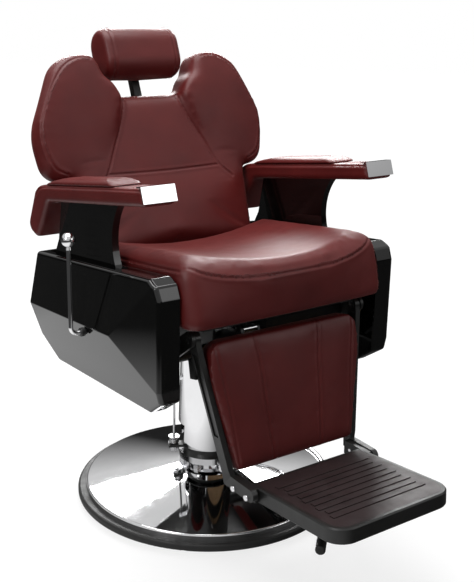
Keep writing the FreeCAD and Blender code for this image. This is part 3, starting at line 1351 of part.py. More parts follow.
def push_link_shape():
    """Flat bar with an eye at each end; the front eye has working clearance."""
    wide = size("link_width")
    start = Vector(size("link_centre") - wide / 2, 0, 0)
    rear = BACK_AXIS + CRANK
    front = LEG_AXIS + CRANK
    way = (front - rear).normalize()
    up = Vector(0, -way.z, way.y) * (size("link_thickness") / 2)
    ring = [point + start for point in (rear + up, rear - up, front - up, front + up)]
    bar = Part.Face(Part.makePolygon(ring + ring[:1])).extrude(Vector(wide, 0, 0))
    eyes = [Part.makeCylinder(size("link_eye_radius"), wide, point + start, Vector(1, 0, 0))
            for point in (rear, front)]
    tight = Part.makeCylinder(size("link_pin_radius") + size("running_gap"), wide + 2,
                              rear + start - Vector(1, 0, 0), Vector(1, 0, 0))
    loose = Part.makeCylinder(size("link_pin_radius") + size("seat_gap"), wide + 2,
                              front + start - Vector(1, 0, 0), Vector(1, 0, 0))
    return bar.multiFuse(eyes).cut(tight).cut(loose).removeSplitter()


push_link = feature("push_link", push_link_shape())

# Recline lock: cylinder on the swivel plate, and its rod with a slotted yoke on the back's crank

LOCK_PIN = BACK_AXIS + LOCK_CRANK
LOCK_LOW = BACK_AXIS.z - size("lock_radius")
LOCK_Z = (LOCK_PIN.z + LOCK_LOW) / 2
PLATE_TOP_Z = (size("cover_top") + size("collar_height") + size("ram_flange_gap")
               + size("ram_flange_height") + size("seat_gap") + size("bearing_height")
               + size("swivel_hub_height") + size("top_plate_height"))


def lock_cylinder_shape():
    along = Vector(0, 1, 0)
    start = Vector(size("lock_x"), size("lock_tube_start"), LOCK_Z)
    long = size("lock_tube_end") - size("lock_tube_start")
    tube = Part.makeCylinder(size("lock_tube_radius"), long, start, along)
    foot = Part.makeBox(16, 44, LOCK_Z - PLATE_TOP_Z,
                        Vector(size("lock_x") - 8, size("lock_tube_start") + 12, PLATE_TOP_Z))
    bore = Part.makeCylinder(size("lock_rod_radius") + size("running_gap"), long,
                             start + along * 12, along)
    return tube.fuse(foot).cut(bore).removeSplitter()


def lock_rod_shape():
    along = Vector(0, 1, 0)
    deep = size("yoke_depth")
    yoke_start = LOCK_PIN.y - deep / 2
    rod_start = size("lock_tube_end") - 55
    rod = Part.makeCylinder(size("lock_rod_radius"), yoke_start - rod_start + 1,
                            Vector(size("lock_x"), rod_start, LOCK_Z), along)
    wide = size("yoke_width")
    tall = size("yoke_height")
    yoke = Part.makeBox(wide, deep, tall, Vector(size("lock_x") - wide / 2, yoke_start,
                                                 LOCK_Z - tall / 2))
    pin = size("link_pin_radius") + 0.5
    slot = Part.makeBox(wide + 2, 2 * pin, 8, Vector(size("lock_x") - wide / 2 - 1,
                                                     LOCK_PIN.y - pin, LOCK_Z - 4))
    ends = [Part.makeCylinder(pin, wide + 2, Vector(size("lock_x") - wide / 2 - 1, LOCK_PIN.y,
                                                    LOCK_Z + lift), Vector(1, 0, 0))
            for lift in (-4, 4)]
    return rod.fuse(yoke).cut(slot.multiFuse(ends)).removeSplitter()


lock_cylinder = feature("lock_cylinder", lock_cylinder_shape())
lock_rod = feature("lock_rod", lock_rod_shape())

# Recline lever on the right-hand cover: hub with its shaft, chrome rod and ball

COVER_AT_LEVER = -size("cover_outer")
LEVER_SOCKET = 6


def lever_hub_shape():
    """Small collar outside the cover with the shaft that runs in to the side frame."""
    along = Vector(-1, 0, 0)
    start = Vector(COVER_AT_LEVER - 1, size("lever_y"), size("lever_z"))
    hub = Part.makeCylinder(size("lever_hub_radius"), size("lever_hub_height"), start, along)
    rim = [edge for edge in hub.Edges if edge.BoundBox.XMax < start.x - size("lever_hub_height") + 0.1]
    hub = hub.makeFillet(3, rim)
    shaft = Part.makeCylinder(size("lever_shaft_radius"),
                              -start.x - size("side_frame_place") + 6,
                              start, Vector(1, 0, 0))
    socket = Part.makeCylinder(size("handle_radius") + size("running_gap"),
                               size("lever_hub_height") + LEVER_SOCKET,
                               start + along * size("lever_hub_height"), Vector(1, 0, 0))
    return hub.fuse(shaft).cut(socket).removeSplitter()


def lever_handle_shape():
    """Round rod that comes straight out of the hub, turns up and ends in its ball."""
    radius = size("handle_radius")
    y = size("lever_y")
    low = size("lever_z")
    out_x = -size("handle_place")
    bend = size("handle_bend")
    top = low + size("handle_height")
    inner = COVER_AT_LEVER - 1 + LEVER_SOCKET - 0.5
    corner = Vector(out_x + bend, y, low + bend)
    middle = corner - Vector(1, 0, 1).normalize() * bend
    edges = [Part.LineSegment(Vector(inner, y, low), Vector(out_x + bend, y, low)).toShape(),
             Part.Arc(Vector(out_x + bend, y, low), middle, Vector(out_x, y, low + bend)).toShape(),
             Part.LineSegment(Vector(out_x, y, low + bend), Vector(out_x, y, top)).toShape()]
    ring = Part.Wire(Part.Circle(Vector(inner, y, low), Vector(1, 0, 0), radius).toShape())
    rod = Part.Wire(edges).makePipeShell([ring], True, False)
    ball = Part.makeSphere(size("ball_radius"), Vector(out_x, y, top + size("ball_radius") * 0.6))
    neck = Part.makeCone(radius + 2.5, radius + 1, 7, Vector(out_x, y, top - 12), Vector(0, 0, 1))
    return rod.multiFuse([ball, neck]).removeSplitter()


lever_hub = feature("lever_hub", lever_hub_shape())
lever_handle = feature("lever_handle", lever_handle_shape())

# Write every sub-part after checking it

NODES = [
    base_plate, base_dome, base_ring, pump_flange, hex_nuts, clamp_ring, pump_cylinder, pump_cover,
    pump_collar, plunger_rod, plunger_spring, rocker_shaft, pump_lever, pedal_sleeve, lift_ram,
    ram_cap, swivel_bearing, swivel_plate, cheek_plate_r, cheek_plate_l, frame_tubes, side_frame_r,
    side_frame_l, hinge_bracket_r, hinge_bracket_l, link_beam, pivot_pins, seat_board, seat_cushion,
    side_cover_r, side_cover_l, arm_panel_r, arm_panel_l, arm_pad_r, arm_pad_l, elbow_pad_r,
    elbow_pad_l, arm_cap_r, arm_cap_l, back_board, back_cushion, back_bracket_r, back_bracket_l,
    back_tube, headrest_guide, headrest_post, headrest_pad, leg_bar_r, leg_bar_l, leg_crossbar,
    leg_board, leg_pad, footplate, foot_tread, footplate_bolts, push_link, lock_cylinder, lock_rod,
    lever_hub, lever_handle]

doc.recompute()
for thing in doc.Objects:
    if "Invalid" in thing.State or "Error" in thing.State:
        raise RuntimeError("failed: " + thing.Label)
for node in NODES:
    if node.Shape.isNull() or not node.Shape.isValid():
        raise RuntimeError("bad shape: " + node.Label)
    if not node.Shape.Solids:
        raise RuntimeError("no solid: " + node.Label)
    node.Shape.exportStep("parts/%s.step" % node.Label)
print("wrote %d sub-parts" % len(NODES))
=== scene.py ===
"""Looks of the hydraulic barber chair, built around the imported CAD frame.

Metres, +Z up, the sitter faces -Y. The lines of seams are in millimetres, each in the frame of
its own upholstered piece.
"""

import json
import math

import bpy
import bmesh
import numpy as np
from mathutils import Matrix, Vector
from mathutils.bvhtree import BVHTree
from mathutils.kdtree import KDTree


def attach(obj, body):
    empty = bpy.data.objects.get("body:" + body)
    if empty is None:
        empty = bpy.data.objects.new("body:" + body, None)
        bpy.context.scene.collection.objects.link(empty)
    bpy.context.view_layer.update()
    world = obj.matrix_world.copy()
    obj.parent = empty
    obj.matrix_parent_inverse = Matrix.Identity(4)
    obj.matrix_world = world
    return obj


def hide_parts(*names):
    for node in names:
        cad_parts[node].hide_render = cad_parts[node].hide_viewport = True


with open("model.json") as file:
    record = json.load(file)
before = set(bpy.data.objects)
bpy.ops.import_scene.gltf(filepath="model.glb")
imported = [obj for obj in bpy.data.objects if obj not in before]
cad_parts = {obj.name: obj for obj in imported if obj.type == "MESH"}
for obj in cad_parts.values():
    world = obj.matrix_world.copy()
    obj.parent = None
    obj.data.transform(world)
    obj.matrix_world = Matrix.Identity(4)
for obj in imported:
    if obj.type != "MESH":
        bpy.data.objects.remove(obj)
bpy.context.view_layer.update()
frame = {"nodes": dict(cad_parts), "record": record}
nodes = frame["nodes"]
scene = bpy.context.scene
MM = 0.001


# Local frames of the upholstered pieces, as in the CAD

SEAT_TILT = 5.5
BACK_LEAN = 22.2
ARM_TILT = 8.5
PAD_LEAN = 11.4


def placed(y, z, degrees):
    """Frame whose origin lies in the middle plane, turned about X."""
    turn = Matrix.Rotation(math.radians(degrees), 4, "X")
    return Matrix.Translation((0, y * MM, z * MM)) @ turn


SEAT = placed(-322, 545, -SEAT_TILT)
BACK = placed(126, 585, 90 - BACK_LEAN)
ARM = placed(-240, 834, -ARM_TILT)
PAD = placed(-290, 506, 90 - PAD_LEAN)


# Materials

# Most values of a noise texture lie between these two.
NOISE_LOW, NOISE_HIGH = 0.3, 0.7


def shader(name):
    """New material with its node tree and principled shader."""
    made = bpy.data.materials.new(name)
    made.use_nodes = True
    tree = made.node_tree
    return made, tree, tree.nodes["Principled BSDF"]


def coordinates(tree, stretch=(1, 1, 1)):
    """Object coordinates in metres, stretched along each axis."""
    source = tree.nodes.new("ShaderNodeTexCoord")
    mapping = tree.nodes.new("ShaderNodeMapping")
    mapping.inputs["Scale"].default_value = stretch
    tree.links.new(source.outputs["Object"], mapping.inputs["Vector"])
    return mapping.outputs["Vector"]


def noise(tree, vector, scale, detail=3.0, roughness=0.5, distortion=0.0):
    node = tree.nodes.new("ShaderNodeTexNoise")
    node.inputs["Scale"].default_value = scale
    node.inputs["Detail"].default_value = detail
    node.inputs["Roughness"].default_value = roughness
    node.inputs["Distortion"].default_value = distortion
    tree.links.new(vector, node.inputs["Vector"])
    return node.outputs["Fac"]


def cells(tree, vector, scale):
    """Distance to the nearest edge between Voronoi cells."""
    node = tree.nodes.new("ShaderNodeTexVoronoi")
    node.feature = "DISTANCE_TO_EDGE"
    node.inputs["Scale"].default_value = scale
    tree.links.new(vector, node.inputs["Vector"])
    return node.outputs["Distance"]


def spread(tree, value, low, high, to_low, to_high):
    """Map a value from one range to another, clamped."""
    node = tree.nodes.new("ShaderNodeMapRange")
    for socket, number in (("From Min", low), ("From Max", high), ("To Min", to_low),
                           ("To Max", to_high)):
        node.inputs[socket].default_value = number
    tree.links.new(value, node.inputs["Value"])
    return node.outputs["Result"]


def ramp(tree, value, stops):
    """Colour ramp through (place, colour) stops."""
    node = tree.nodes.new("ShaderNodeValToRGB")
    elements = node.color_ramp.elements
    while len(elements) < len(stops):
        elements.new(0.5)
    for element, (place, colour) in zip(elements, stops):
        element.position = place
        element.color = (*colour, 1)
    tree.links.new(value, node.inputs["Fac"])
    return node.outputs["Color"]


def bump(tree, height, strength, distance, normal=None):
    node = tree.nodes.new("ShaderNodeBump")
    node.inputs["Strength"].default_value = strength
    node.inputs["Distance"].default_value = distance
    tree.links.new(height, node.inputs["Height"])
    if normal is not None:
        tree.links.new(normal, node.inputs["Normal"])
    return node.outputs["Normal"]


def leather():
    """Wine-red upholstery vinyl: fine pebble grain, soft mottling and a broad waxy sheen."""
    made, tree, surface = shader("wine_leather")
    place = coordinates(tree)
    mottling = noise(tree, place, scale=9, detail=4, roughness=0.55)
    colour = ramp(tree, mottling, [(0.3, (0.098, 0.0078, 0.0072)),
                                   (0.55, (0.120, 0.0102, 0.0094)),
                                   (0.78, (0.140, 0.0135, 0.0122))])
    tree.links.new(colour, surface.inputs["Base Color"])
    grain = cells(tree, place, scale=950)
    creases = noise(tree, place, scale=55, detail=5, roughness=0.6, distortion=0.4)
    creased = bump(tree, creases, strength=0.16, distance=0.0014)
    grained = bump(tree, grain, strength=0.3, distance=0.0002, normal=creased)
    tree.links.new(grained, surface.inputs["Normal"])
    wear = noise(tree, place, scale=26, detail=3)
    tree.links.new(spread(tree, wear, NOISE_LOW, NOISE_HIGH, to_low=0.40, to_high=0.48),
                   surface.inputs["Roughness"])
    surface.inputs["Specular IOR Level"].default_value = 0.46
    surface.inputs["Sheen Weight"].default_value = 0.15
    surface.inputs["Sheen Roughness"].default_value = 0.3
    surface.inputs["Sheen Tint"].default_value = (1.0, 0.45, 0.40, 1)
    return made


def plain(name, dark, light, rough, grain_scale, grain_depth, metallic=0, coat=0.0,
          stretch=(1, 1, 1)):
    """Surface with colour and roughness that vary slowly, and a fine bump."""
    mottle_scale = 14
    made, tree, surface = shader(name)
    place = coordinates(tree, stretch)
    wide = noise(tree, place, mottle_scale, detail=4, roughness=0.55)
    tree.links.new(ramp(tree, wide, [(NOISE_LOW, dark), (NOISE_HIGH, light)]),
                   surface.inputs["Base Color"])
    patches = noise(tree, place, mottle_scale * 3, detail=4)
    tree.links.new(spread(tree, patches, NOISE_LOW, NOISE_HIGH, *rough),
                   surface.inputs["Roughness"])
    surface.inputs["Metallic"].default_value = metallic
    surface.inputs["Coat Weight"].default_value = coat
    surface.inputs["Coat Roughness"].default_value = 0.05
    fine = noise(tree, place, grain_scale, detail=3, roughness=0.6)
    tree.links.new(bump(tree, fine, strength=0.3, distance=grain_depth),
                   surface.inputs["Normal"])
    return made


def plywood():
    """Birch ply: long grain with darker streaks."""
    made, tree, surface = shader("ply_board")
    place = coordinates(tree, stretch=(1, 9, 9))
    grain = noise(tree, place, scale=14, detail=6, roughness=0.62, distortion=0.8)
    tree.links.new(ramp(tree, grain, [(0.3, (0.22, 0.12, 0.055)), (0.5, (0.40, 0.25, 0.13)),
                                      (0.75, (0.50, 0.33, 0.18))]),
                   surface.inputs["Base Color"])
    tree.links.new(bump(tree, grain, strength=0.25, distance=0.0006), surface.inputs["Normal"])
    tree.links.new(spread(tree, grain, NOISE_LOW, NOISE_HIGH, to_low=0.55, to_high=0.7),
                   surface.inputs["Roughness"])
    return made


MATERIALS = {
    "leather": leather(),
    "thread": plain("thread", dark=(0.085, 0.013, 0.012), light=(0.13, 0.026, 0.024),
                    rough=(0.5, 0.65), grain_scale=2500, grain_depth=0.0001),
    "gloss_black": plain("gloss_black", dark=(0.0020, 0.0020, 0.0019),
                         light=(0.0036, 0.0035, 0.0032), rough=(0.045, 0.08),
                         grain_scale=160, grain_depth=0.00003, coat=0.25),
    "black_paint": plain("satin_black", dark=(0.012, 0.012, 0.0115),
                         light=(0.019, 0.019, 0.018), rough=(0.30, 0.42),
                         grain_scale=900, grain_depth=0.00012),
    "black_plastic": plain("moulded_black", dark=(0.011, 0.011, 0.0115),
                           light=(0.018, 0.018, 0.018), rough=(0.38, 0.5),
                           grain_scale=1100, grain_depth=0.0002),
    "chrome": plain("chrome", dark=(0.80, 0.80, 0.81), light=(0.86, 0.86, 0.87),
                    rough=(0.025, 0.06), grain_scale=30, grain_depth=0.00004, metallic=1),
    "bright_steel": plain("bright_steel", dark=(0.55, 0.55, 0.56), light=(0.66, 0.66, 0.67),
                          rough=(0.16, 0.3), grain_scale=500, grain_depth=0.00006, metallic=1,
                          stretch=(1, 1, 0.15)),
    "steel": plain("plain_steel", dark=(0.30, 0.30, 0.31), light=(0.42, 0.42, 0.42),
                   rough=(0.35, 0.5), grain_scale=300, grain_depth=0.00015, metallic=1),
    "rubber": plain("rubber", dark=(0.010, 0.010, 0.010), light=(0.018, 0.0175, 0.017),
                    rough=(0.45, 0.6), grain_scale=800, grain_depth=0.00018),
    "tread": plain("tread_rubber", dark=(0.017, 0.0095, 0.0100),
                   light=(0.028, 0.0160, 0.0165), rough=(0.36, 0.5),
                   grain_scale=800, grain_depth=0.00018),
    "plywood": plywood(),
}

for part in frame["record"]["subparts"]:
    node = nodes[part["node"]]
    name = "tread" if part["node"] == "foot_tread" else part["material_slot"]
    node.data.materials.clear()
    node.data.materials.append(MATERIALS[name])


# Tools for the upholstery

WELD = 2e-5
SEAM_HOLD_REACH = 14
SWELL_FRAMES = 20
CURVE_STEPS = 12
GROOVE_REACH = 0.02
ROLL_PLACE = 0.006
ROLL_WIDTH = 0.0035
STITCH_LENGTH = 0.0042
STITCH_GAP = 0.0016
THREAD_RADIUS = 0.00045
THREAD_SIDES = 6


def mesh_object(name, mesh):
    made = bpy.data.objects.new(name, mesh)
    scene.collection.objects.link(made)
    return made


def node_copy(name, node):
    """Welded copy of a CAD node's mesh."""
    made = bmesh.new()
    made.from_mesh(nodes[node].data)
    bmesh.ops.remove_doubles(made, verts=made.verts, dist=WELD)
    mesh = bpy.data.meshes.new(name)
    made.to_mesh(mesh)
    made.free()
    return mesh_object(name, mesh)


def apply_modifiers(piece):
    """Replace the piece's mesh by its evaluated mesh and drop the modifiers."""
    graph = bpy.context.evaluated_depsgraph_get()
    mesh = bpy.data.meshes.new_from_object(piece.evaluated_get(graph))
    old = piece.data
    piece.modifiers.clear()
    piece.data = mesh
    bpy.data.meshes.remove(old)


def remesh(piece, voxel):
    change = piece.modifiers.new("voxels", "REMESH")
    change.mode = "VOXEL"
    change.voxel_size = voxel
    change.use_smooth_shade = True
    apply_modifiers(piece)


def relax(piece, times):
    change = piece.modifiers.new("relax", "SMOOTH")
    change.factor = 0.5
    change.iterations = times
    apply_modifiers(piece)


def subdivide(piece):
    change = piece.modifiers.new("finer", "SUBSURF")
    change.levels = 1
    change.render_levels = 1
    apply_modifiers(piece)


def points_of(piece):
    flat = np.empty(len(piece.data.vertices) * 3)
    piece.data.vertices.foreach_get("co", flat)
    return flat.reshape(-1, 3)


def set_points(piece, points):
    piece.data.vertices.foreach_set("co", points.ravel())
    piece.data.update()


def normals_of(piece):
    flat = np.empty(len(piece.data.vertices) * 3)
    piece.data.vertex_normals.foreach_get("vector", flat)
    return flat.reshape(-1, 3)


def local_points(points, place):
    """Points in the piece's own frame, in millimetres."""
    turned = np.array(place.inverted())
    return (points @ turned[:3, :3].T + turned[:3, 3]) / MM


def inflate(piece, held, pressure, cap):
    """Cloth under inner pressure, held where the weight is 1, moved by no more than the cap."""
    least_weight = 0.02
    stiffness = 18
    before = points_of(piece)
    group = piece.vertex_groups.new(name="held")
    for index, weight in enumerate(held):
        if weight > least_weight:
            group.add([index], float(weight), "REPLACE")
    cloth = piece.modifiers.new("cloth", "CLOTH")
    settings = cloth.settings
    settings.quality = 4
    settings.mass = 0.35
    settings.tension_stiffness = stiffness
    settings.compression_stiffness = stiffness
    settings.shear_stiffness = stiffness * 0.5
    settings.bending_stiffness = 1.2
    settings.use_pressure = True
    settings.uniform_pressure_force = pressure
    settings.effector_weights.gravity = 0
    settings.vertex_group_mass = "held"
    cloth.collision_settings.use_collision = False
    cloth.point_cache.frame_start = 1
    cloth.point_cache.frame_end = SWELL_FRAMES + 2
    for number in range(1, SWELL_FRAMES + 1):
        scene.frame_set(number)
    graph = bpy.context.evaluated_depsgraph_get()
    swollen = piece.evaluated_get(graph)
    flat = np.empty(len(before) * 3)
    swollen.data.vertices.foreach_get("co", flat)
    after = flat.reshape(-1, 3)
    piece.modifiers.clear()
    piece.vertex_groups.clear()
    scene.frame_set(1)
    move = after - before
    length = np.linalg.norm(move, axis=1)
    length[length == 0] = 1
    move *= np.minimum(1, cap / length)[:, None]
    set_points(piece, before + move)


def dense(line, pitch=0.0012):
    """Points along a smooth curve through the line's corners, at an even pitch."""
    corners = [Vector(point) for point in line]
    if len(corners) > 2:
        curve = []
        padded = [corners[0] * 2 - corners[1]] + corners + [corners[-1] * 2 - corners[-2]]
        for k in range(1, len(padded) - 2):
            a, b, c, d = padded[k - 1:k + 3]
            for step in range(CURVE_STEPS):
                t = step / CURVE_STEPS
                curve.append(0.5 * ((2 * b) + (c - a) * t + (2 * a - 5 * b + 4 * c - d) * t * t
                                    + (3 * b - a - 3 * c + d) * t ** 3))
        curve.append(corners[-1])
    else:
        curve = corners
    dots = [curve[0]]
    for first, second in zip(curve, curve[1:]):
        run = (second - first).length
        count = max(1, int(run / pitch))
        dots += [first.lerp(second, (k + 1) / count) for k in range(count)]
    return dots


def on_surface(piece, line, place):
    """Seam points laid on the piece's surface, with their normals."""
    tree = BVHTree.FromPolygons([v.co for v in piece.data.vertices],
                                [tuple(f.vertices) for f in piece.data.polygons])
    found = []
    for point in dense([place @ (Vector(p) * MM) for p in line]):
        spot, normal, _, _ = tree.find_nearest(point)
        found.append((spot, normal))
    return found


def press_seams(piece, seams, place, depth=0.0016, width=0.0022):
    """Sink a groove along each seam, with a slight roll on both sides."""
    roll_height = 0.0006
    far = 9.0
    points = points_of(piece)
    inwards = -normals_of(piece)
    near = np.full(len(points), far)
    for line in seams:
        laid = on_surface(piece, line, place)
        tree = KDTree(len(laid))
        for index, (spot, _) in enumerate(laid):
            tree.insert(spot, index)
        tree.balance()
        low = np.min([tuple(s) for s, _ in laid], axis=0) - GROOVE_REACH
        high = np.max([tuple(s) for s, _ in laid], axis=0) + GROOVE_REACH
        close = np.where(np.all((points > low) & (points < high), axis=1))[0]
        for index in close:
            near[index] = min(near[index], tree.find(points[index])[2])
    groove = depth * np.exp(-(near / width) ** 2)
    roll = roll_height * np.exp(-((near - ROLL_PLACE) / ROLL_WIDTH) ** 2)
    set_points(piece, points + inwards * (groove - roll)[:, None])


def rod(made, start, end):
    """Add one stitch, thinner at its ends, between two points of a bmesh."""
    way = (end - start).normalized()
    aside = way.orthogonal().normalized()
    other = way.cross(aside)
    rings = []
    for share, swell in ((0.0, 0.45), (0.18, 1.0), (0.82, 1.0), (1.0, 0.45)):
        centre = start.lerp(end, share)
        rings.append([made.verts.new(centre + (aside * math.cos(a) + other * math.sin(a))
                                     * THREAD_RADIUS * swell)
                      for a in [2 * math.pi * k / THREAD_SIDES for k in range(THREAD_SIDES)]])
    for low, high in zip(rings, rings[1:]):
        for k in range(THREAD_SIDES):
            after = (k + 1) % THREAD_SIDES
            made.faces.new((low[k], low[after], high[after], high[k]))
    made.faces.new(rings[0][::-1])
    made.faces.new(rings[-1])


def stitch_rows(name, piece, rows, place, body):
    """Stitches beside seams; each row is a line and its offset to one side in metres."""
    rise = 0.9
    least_run = 1e-6
    made = bmesh.new()
    for line, offset in rows:
        laid = on_surface(piece, line, place)
        moved = []
        for k, (spot, normal) in enumerate(laid):
            ahead = (laid[min(k + 2, len(laid) - 1)][0] - laid[max(k - 2, 0)][0])
            if ahead.length < least_run:
                continue
            side = normal.cross(ahead.normalized())
            moved.append(spot + side * offset + normal * THREAD_RADIUS * rise)
        travelled, start = 0.0, None
        for first, second in zip(moved, moved[1:]):
            if start is None:
                start = first
            travelled += (second - first).length
            if travelled >= STITCH_LENGTH and (second - start).length > STITCH_LENGTH * 0.5:
                rod(made, start, second)
                start, travelled = None, -STITCH_GAP
            elif travelled < 0:
                start = None
    mesh = bpy.data.meshes.new(name)
    made.to_mesh(mesh)
    made.free()
    mesh.shade_smooth()
    mesh.materials.append(MATERIALS["thread"])
    threads = mesh_object(name, mesh)
    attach(threads, body)


def finish_pad(piece, node, body):
    piece.data.materials.clear()
    piece.data.materials.append(MATERIALS["leather"])
    piece.data.shade_smooth()
    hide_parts(node)
    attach(piece, body)


def seam_hold(points, seams, reach):
    """Weight 1 on the seams, falling to 0 at the reach, in the piece's own millimetres."""
    near = np.full(len(points), 1e9)
    for line in seams:
        for dot in dense([Vector(p) for p in line], pitch=4):
            near = np.minimum(near, np.linalg.norm(points - np.array(dot), axis=1))
    return np.clip(1 - near / reach, 0, 1)


def held_below(top, fade):
    """Weight that falls from 1 to 0 over the fade, up to the top, along the piece's own Z."""
    return lambda points: np.clip((top - points[:, 2]) / fade, 0, 1)


def mirrored_line(line):
    return [(-x, y, z) for x, y, z in line]


def along_both(line, offset):
    """Stitch rows on both sides of a seam."""
    return [(line, offset), (line, -offset)]


def on_both_hands(line, offset):
    """Stitch rows beside a seam and beside its mirror image."""
    return [(line, offset), (mirrored_line(line), -offset)]


def make_pad(name, node, voxel, relaxed):
    """Upholstered piece from its CAD form, without simulation."""
    piece = node_copy(name, node)
    remesh(piece, voxel)
    relax(piece, relaxed)
    subdivide(piece)
    return piece


def make_swollen_pad(name, node, place, seams, held, voxel, pressure, cap, relaxed, settled=2):
    """Upholstered piece from its CAD form, inflated where it is neither held nor sewn."""
    piece = node_copy(name, node)
    remesh(piece, voxel)
    relax(piece, relaxed)
    points = local_points(points_of(piece), place)
    weights = np.clip(held(points) + seam_hold(points, seams, SEAM_HOLD_REACH), 0, 1)
    inflate(piece, weights, pressure, cap)
    relax(piece, settled)
    subdivide(piece)
    return piece


# Seat cushion

SEAT_SMILE = [(-244, 34, 128), (-224, 14, 120), (-196, 2, 111), (-160, -8, 104), (-90, -20, 99),
              (0, -24, 97), (90, -20, 99), (160, -8, 104), (196, 2, 111), (224, 14, 120),
              (244, 34, 128)]
SEAT_SIDE = [(259, 48, 122), (264, 120, 122), (264, 300, 122), (261, 430, 120)]
SEAT_CORNER = [(257, 32, 118), (258, 14, 60), (257, 5, 8)]
SEAT_ROW = 0.0045
seat_seams = [SEAT_SMILE, SEAT_SIDE, mirrored_line(SEAT_SIDE), SEAT_CORNER]
seat = make_swollen_pad("seat_cushion_soft", "seat_cushion", SEAT, seat_seams,
                        held_below(top=18, fade=14), voxel=0.0055, pressure=3.0, cap=0.008,
                        relaxed=8, settled=12)
press_seams(seat, seat_seams, SEAT)
finish_pad(seat, "seat_cushion", "chair")
seat_rows = ([(SEAT_SMILE, SEAT_ROW)] + on_both_hands(SEAT_SIDE, -SEAT_ROW)
             + [(SEAT_CORNER, SEAT_ROW)])
stitch_rows("seat_stitches", seat, seat_rows, SEAT, "chair")

# Backrest cushion

BACK_CENTRE = [(76, 394, 4), (92, 345, 4), (126, 275, 4), (160, 208, 4), (196, 172, 3)]
BACK_CROSS = [(-158, 205, 5), (-80, 203, 5), (0, 202, 5), (80, 203, 5), (158, 205, 5)]
BACK_WING = [(260, 216, -2), (290, 232, 2), (307, 270, 6), (313, 306, 12), (308, 346, 18),
             (289, 396, 27), (262, 436, 33), (229, 469, 33), (190, 486, 32), (158, 483, 30)]
BACK_SIDE = [(240, 202, -8), (236, 150, -8), (228, 60, -8), (222, 24, -8)]
CENTRE_ROW = 0.0052
BACK_ROW = 0.0045
back_seams = [BACK_CENTRE, mirrored_line(BACK_CENTRE), BACK_CROSS, BACK_WING,
              mirrored_line(BACK_WING), BACK_SIDE, mirrored_line(BACK_SIDE)]
back = make_swollen_pad("back_cushion_soft", "back_cushion", BACK, back_seams,
                        held_below(top=-50, fade=15), voxel=0.0055, pressure=3.0, cap=0.014,
                        relaxed=26)
press_seams(back, back_seams, BACK)
finish_pad(back, "back_cushion", "backrest")
back_rows = (along_both(BACK_CENTRE, CENTRE_ROW)
             + along_both(mirrored_line(BACK_CENTRE), CENTRE_ROW)
             + [(BACK_CROSS, BACK_ROW)] + on_both_hands(BACK_WING, BACK_ROW)
             + on_both_hands(BACK_SIDE, BACK_ROW))
stitch_rows("back_stitches", back, back_rows, BACK, "backrest")

# Headrest roll

RING_STEPS = 32
HEAD_ROW = 0.005


def ring_line(x, low, high, front, back_depth, bend):
    """Closed loop around the roll at one place along X; a bend under 1 squares its corners."""
    line = []
    middle_y, middle_z = (low + high) / 2, (front + back_depth) / 2
    half_y, half_z = (high - low) / 2, (front - back_depth) / 2
    for k in range(RING_STEPS + 1):
        angle = 2 * math.pi * k / RING_STEPS
        c, s = math.cos(angle), math.sin(angle)
        line.append((x, middle_y + half_y * math.copysign(abs(c) ** bend, c),
                     middle_z + half_z * math.copysign(abs(s) ** bend, s)))
    return line


def held_at_post(points):
    """Weight 1 round the post, on the roll's lower part."""
    half_width, fade, top = 12, 6, 529
    return (np.clip((half_width - np.abs(points[:, 0])) / fade, 0, 1)
            * (points[:, 1] < top))


HEAD_RING = ring_line(86, low=443, high=570, front=26, back_depth=-68, bend=0.7)
head_seams = [HEAD_RING, mirrored_line(HEAD_RING)]
head = make_swollen_pad("headrest_soft", "headrest_pad", BACK, head_seams, held_at_post,
                        voxel=0.0045, pressure=2.5, cap=0.006, relaxed=5)
press_seams(head, head_seams, BACK, depth=0.0013)
finish_pad(head, "headrest_pad", "headrest")
head_rows = along_both(HEAD_RING, HEAD_ROW) + along_both(mirrored_line(HEAD_RING), HEAD_ROW)
stitch_rows("headrest_stitches", head, head_rows, BACK, "headrest")

# Leg-rest pad

PAD_SEAM = [(88, -1, -8), (87, -16, 4), (79, -80, 6), (75, -160, 6), (66, -278, 4)]
PAD_EDGE = [(186, -6, -8), (185, -40, 2), (177, -90, 4), (169, -150, 4), (156, -272, 2)]
PAD_ROW = 0.0042
pad_seams = [PAD_SEAM, mirrored_line(PAD_SEAM), PAD_EDGE, mirrored_line(PAD_EDGE)]
leg = make_swollen_pad("leg_pad_soft", "leg_pad", PAD, pad_seams, held_below(top=-30, fade=8),
                       voxel=0.005, pressure=2.2, cap=0.008, relaxed=4)
press_seams(leg, pad_seams, PAD, depth=0.0014)
finish_pad(leg, "leg_pad", "leg_rest")
pad_rows = (along_both(PAD_SEAM, PAD_ROW) + along_both(mirrored_line(PAD_SEAM), PAD_ROW)
            + on_both_hands(PAD_EDGE, PAD_ROW))
stitch_rows("leg_pad_stitches", leg, pad_rows, PAD, "leg_rest")

# Arm pads and their elbow humps

ARM_OUTER = [(331, 4, -6), (332, 120, -5), (332, 300, -5), (331, 440, -6), (331, 480, -22)]
ARM_INNER = [(259, 4, -6), (258, 120, -5), (258, 300, -5), (259, 440, -6), (259, 480, -22)]
ARM_ROW = 0.0035

for side in "lr":
    outer, inner = ARM_OUTER, ARM_INNER
    if side == "r":
        outer, inner = mirrored_line(outer), mirrored_line(inner)
    arm = make_pad("arm_soft_" + side, "arm_pad_" + side, voxel=0.004, relaxed=5)
    press_seams(arm, [outer, inner], ARM, depth=0.0014, width=0.002)
    finish_pad(arm, "arm_pad_" + side, "chair")
    elbow = make_pad("elbow_soft_" + side, "elbow_pad_" + side, voxel=0.003, relaxed=6)
    finish_pad(elbow, "elbow_pad_" + side, "chair")
    stitch_rows("arm_stitches_" + side, arm, [(outer, ARM_ROW), (inner, -ARM_ROW)], ARM, "chair")


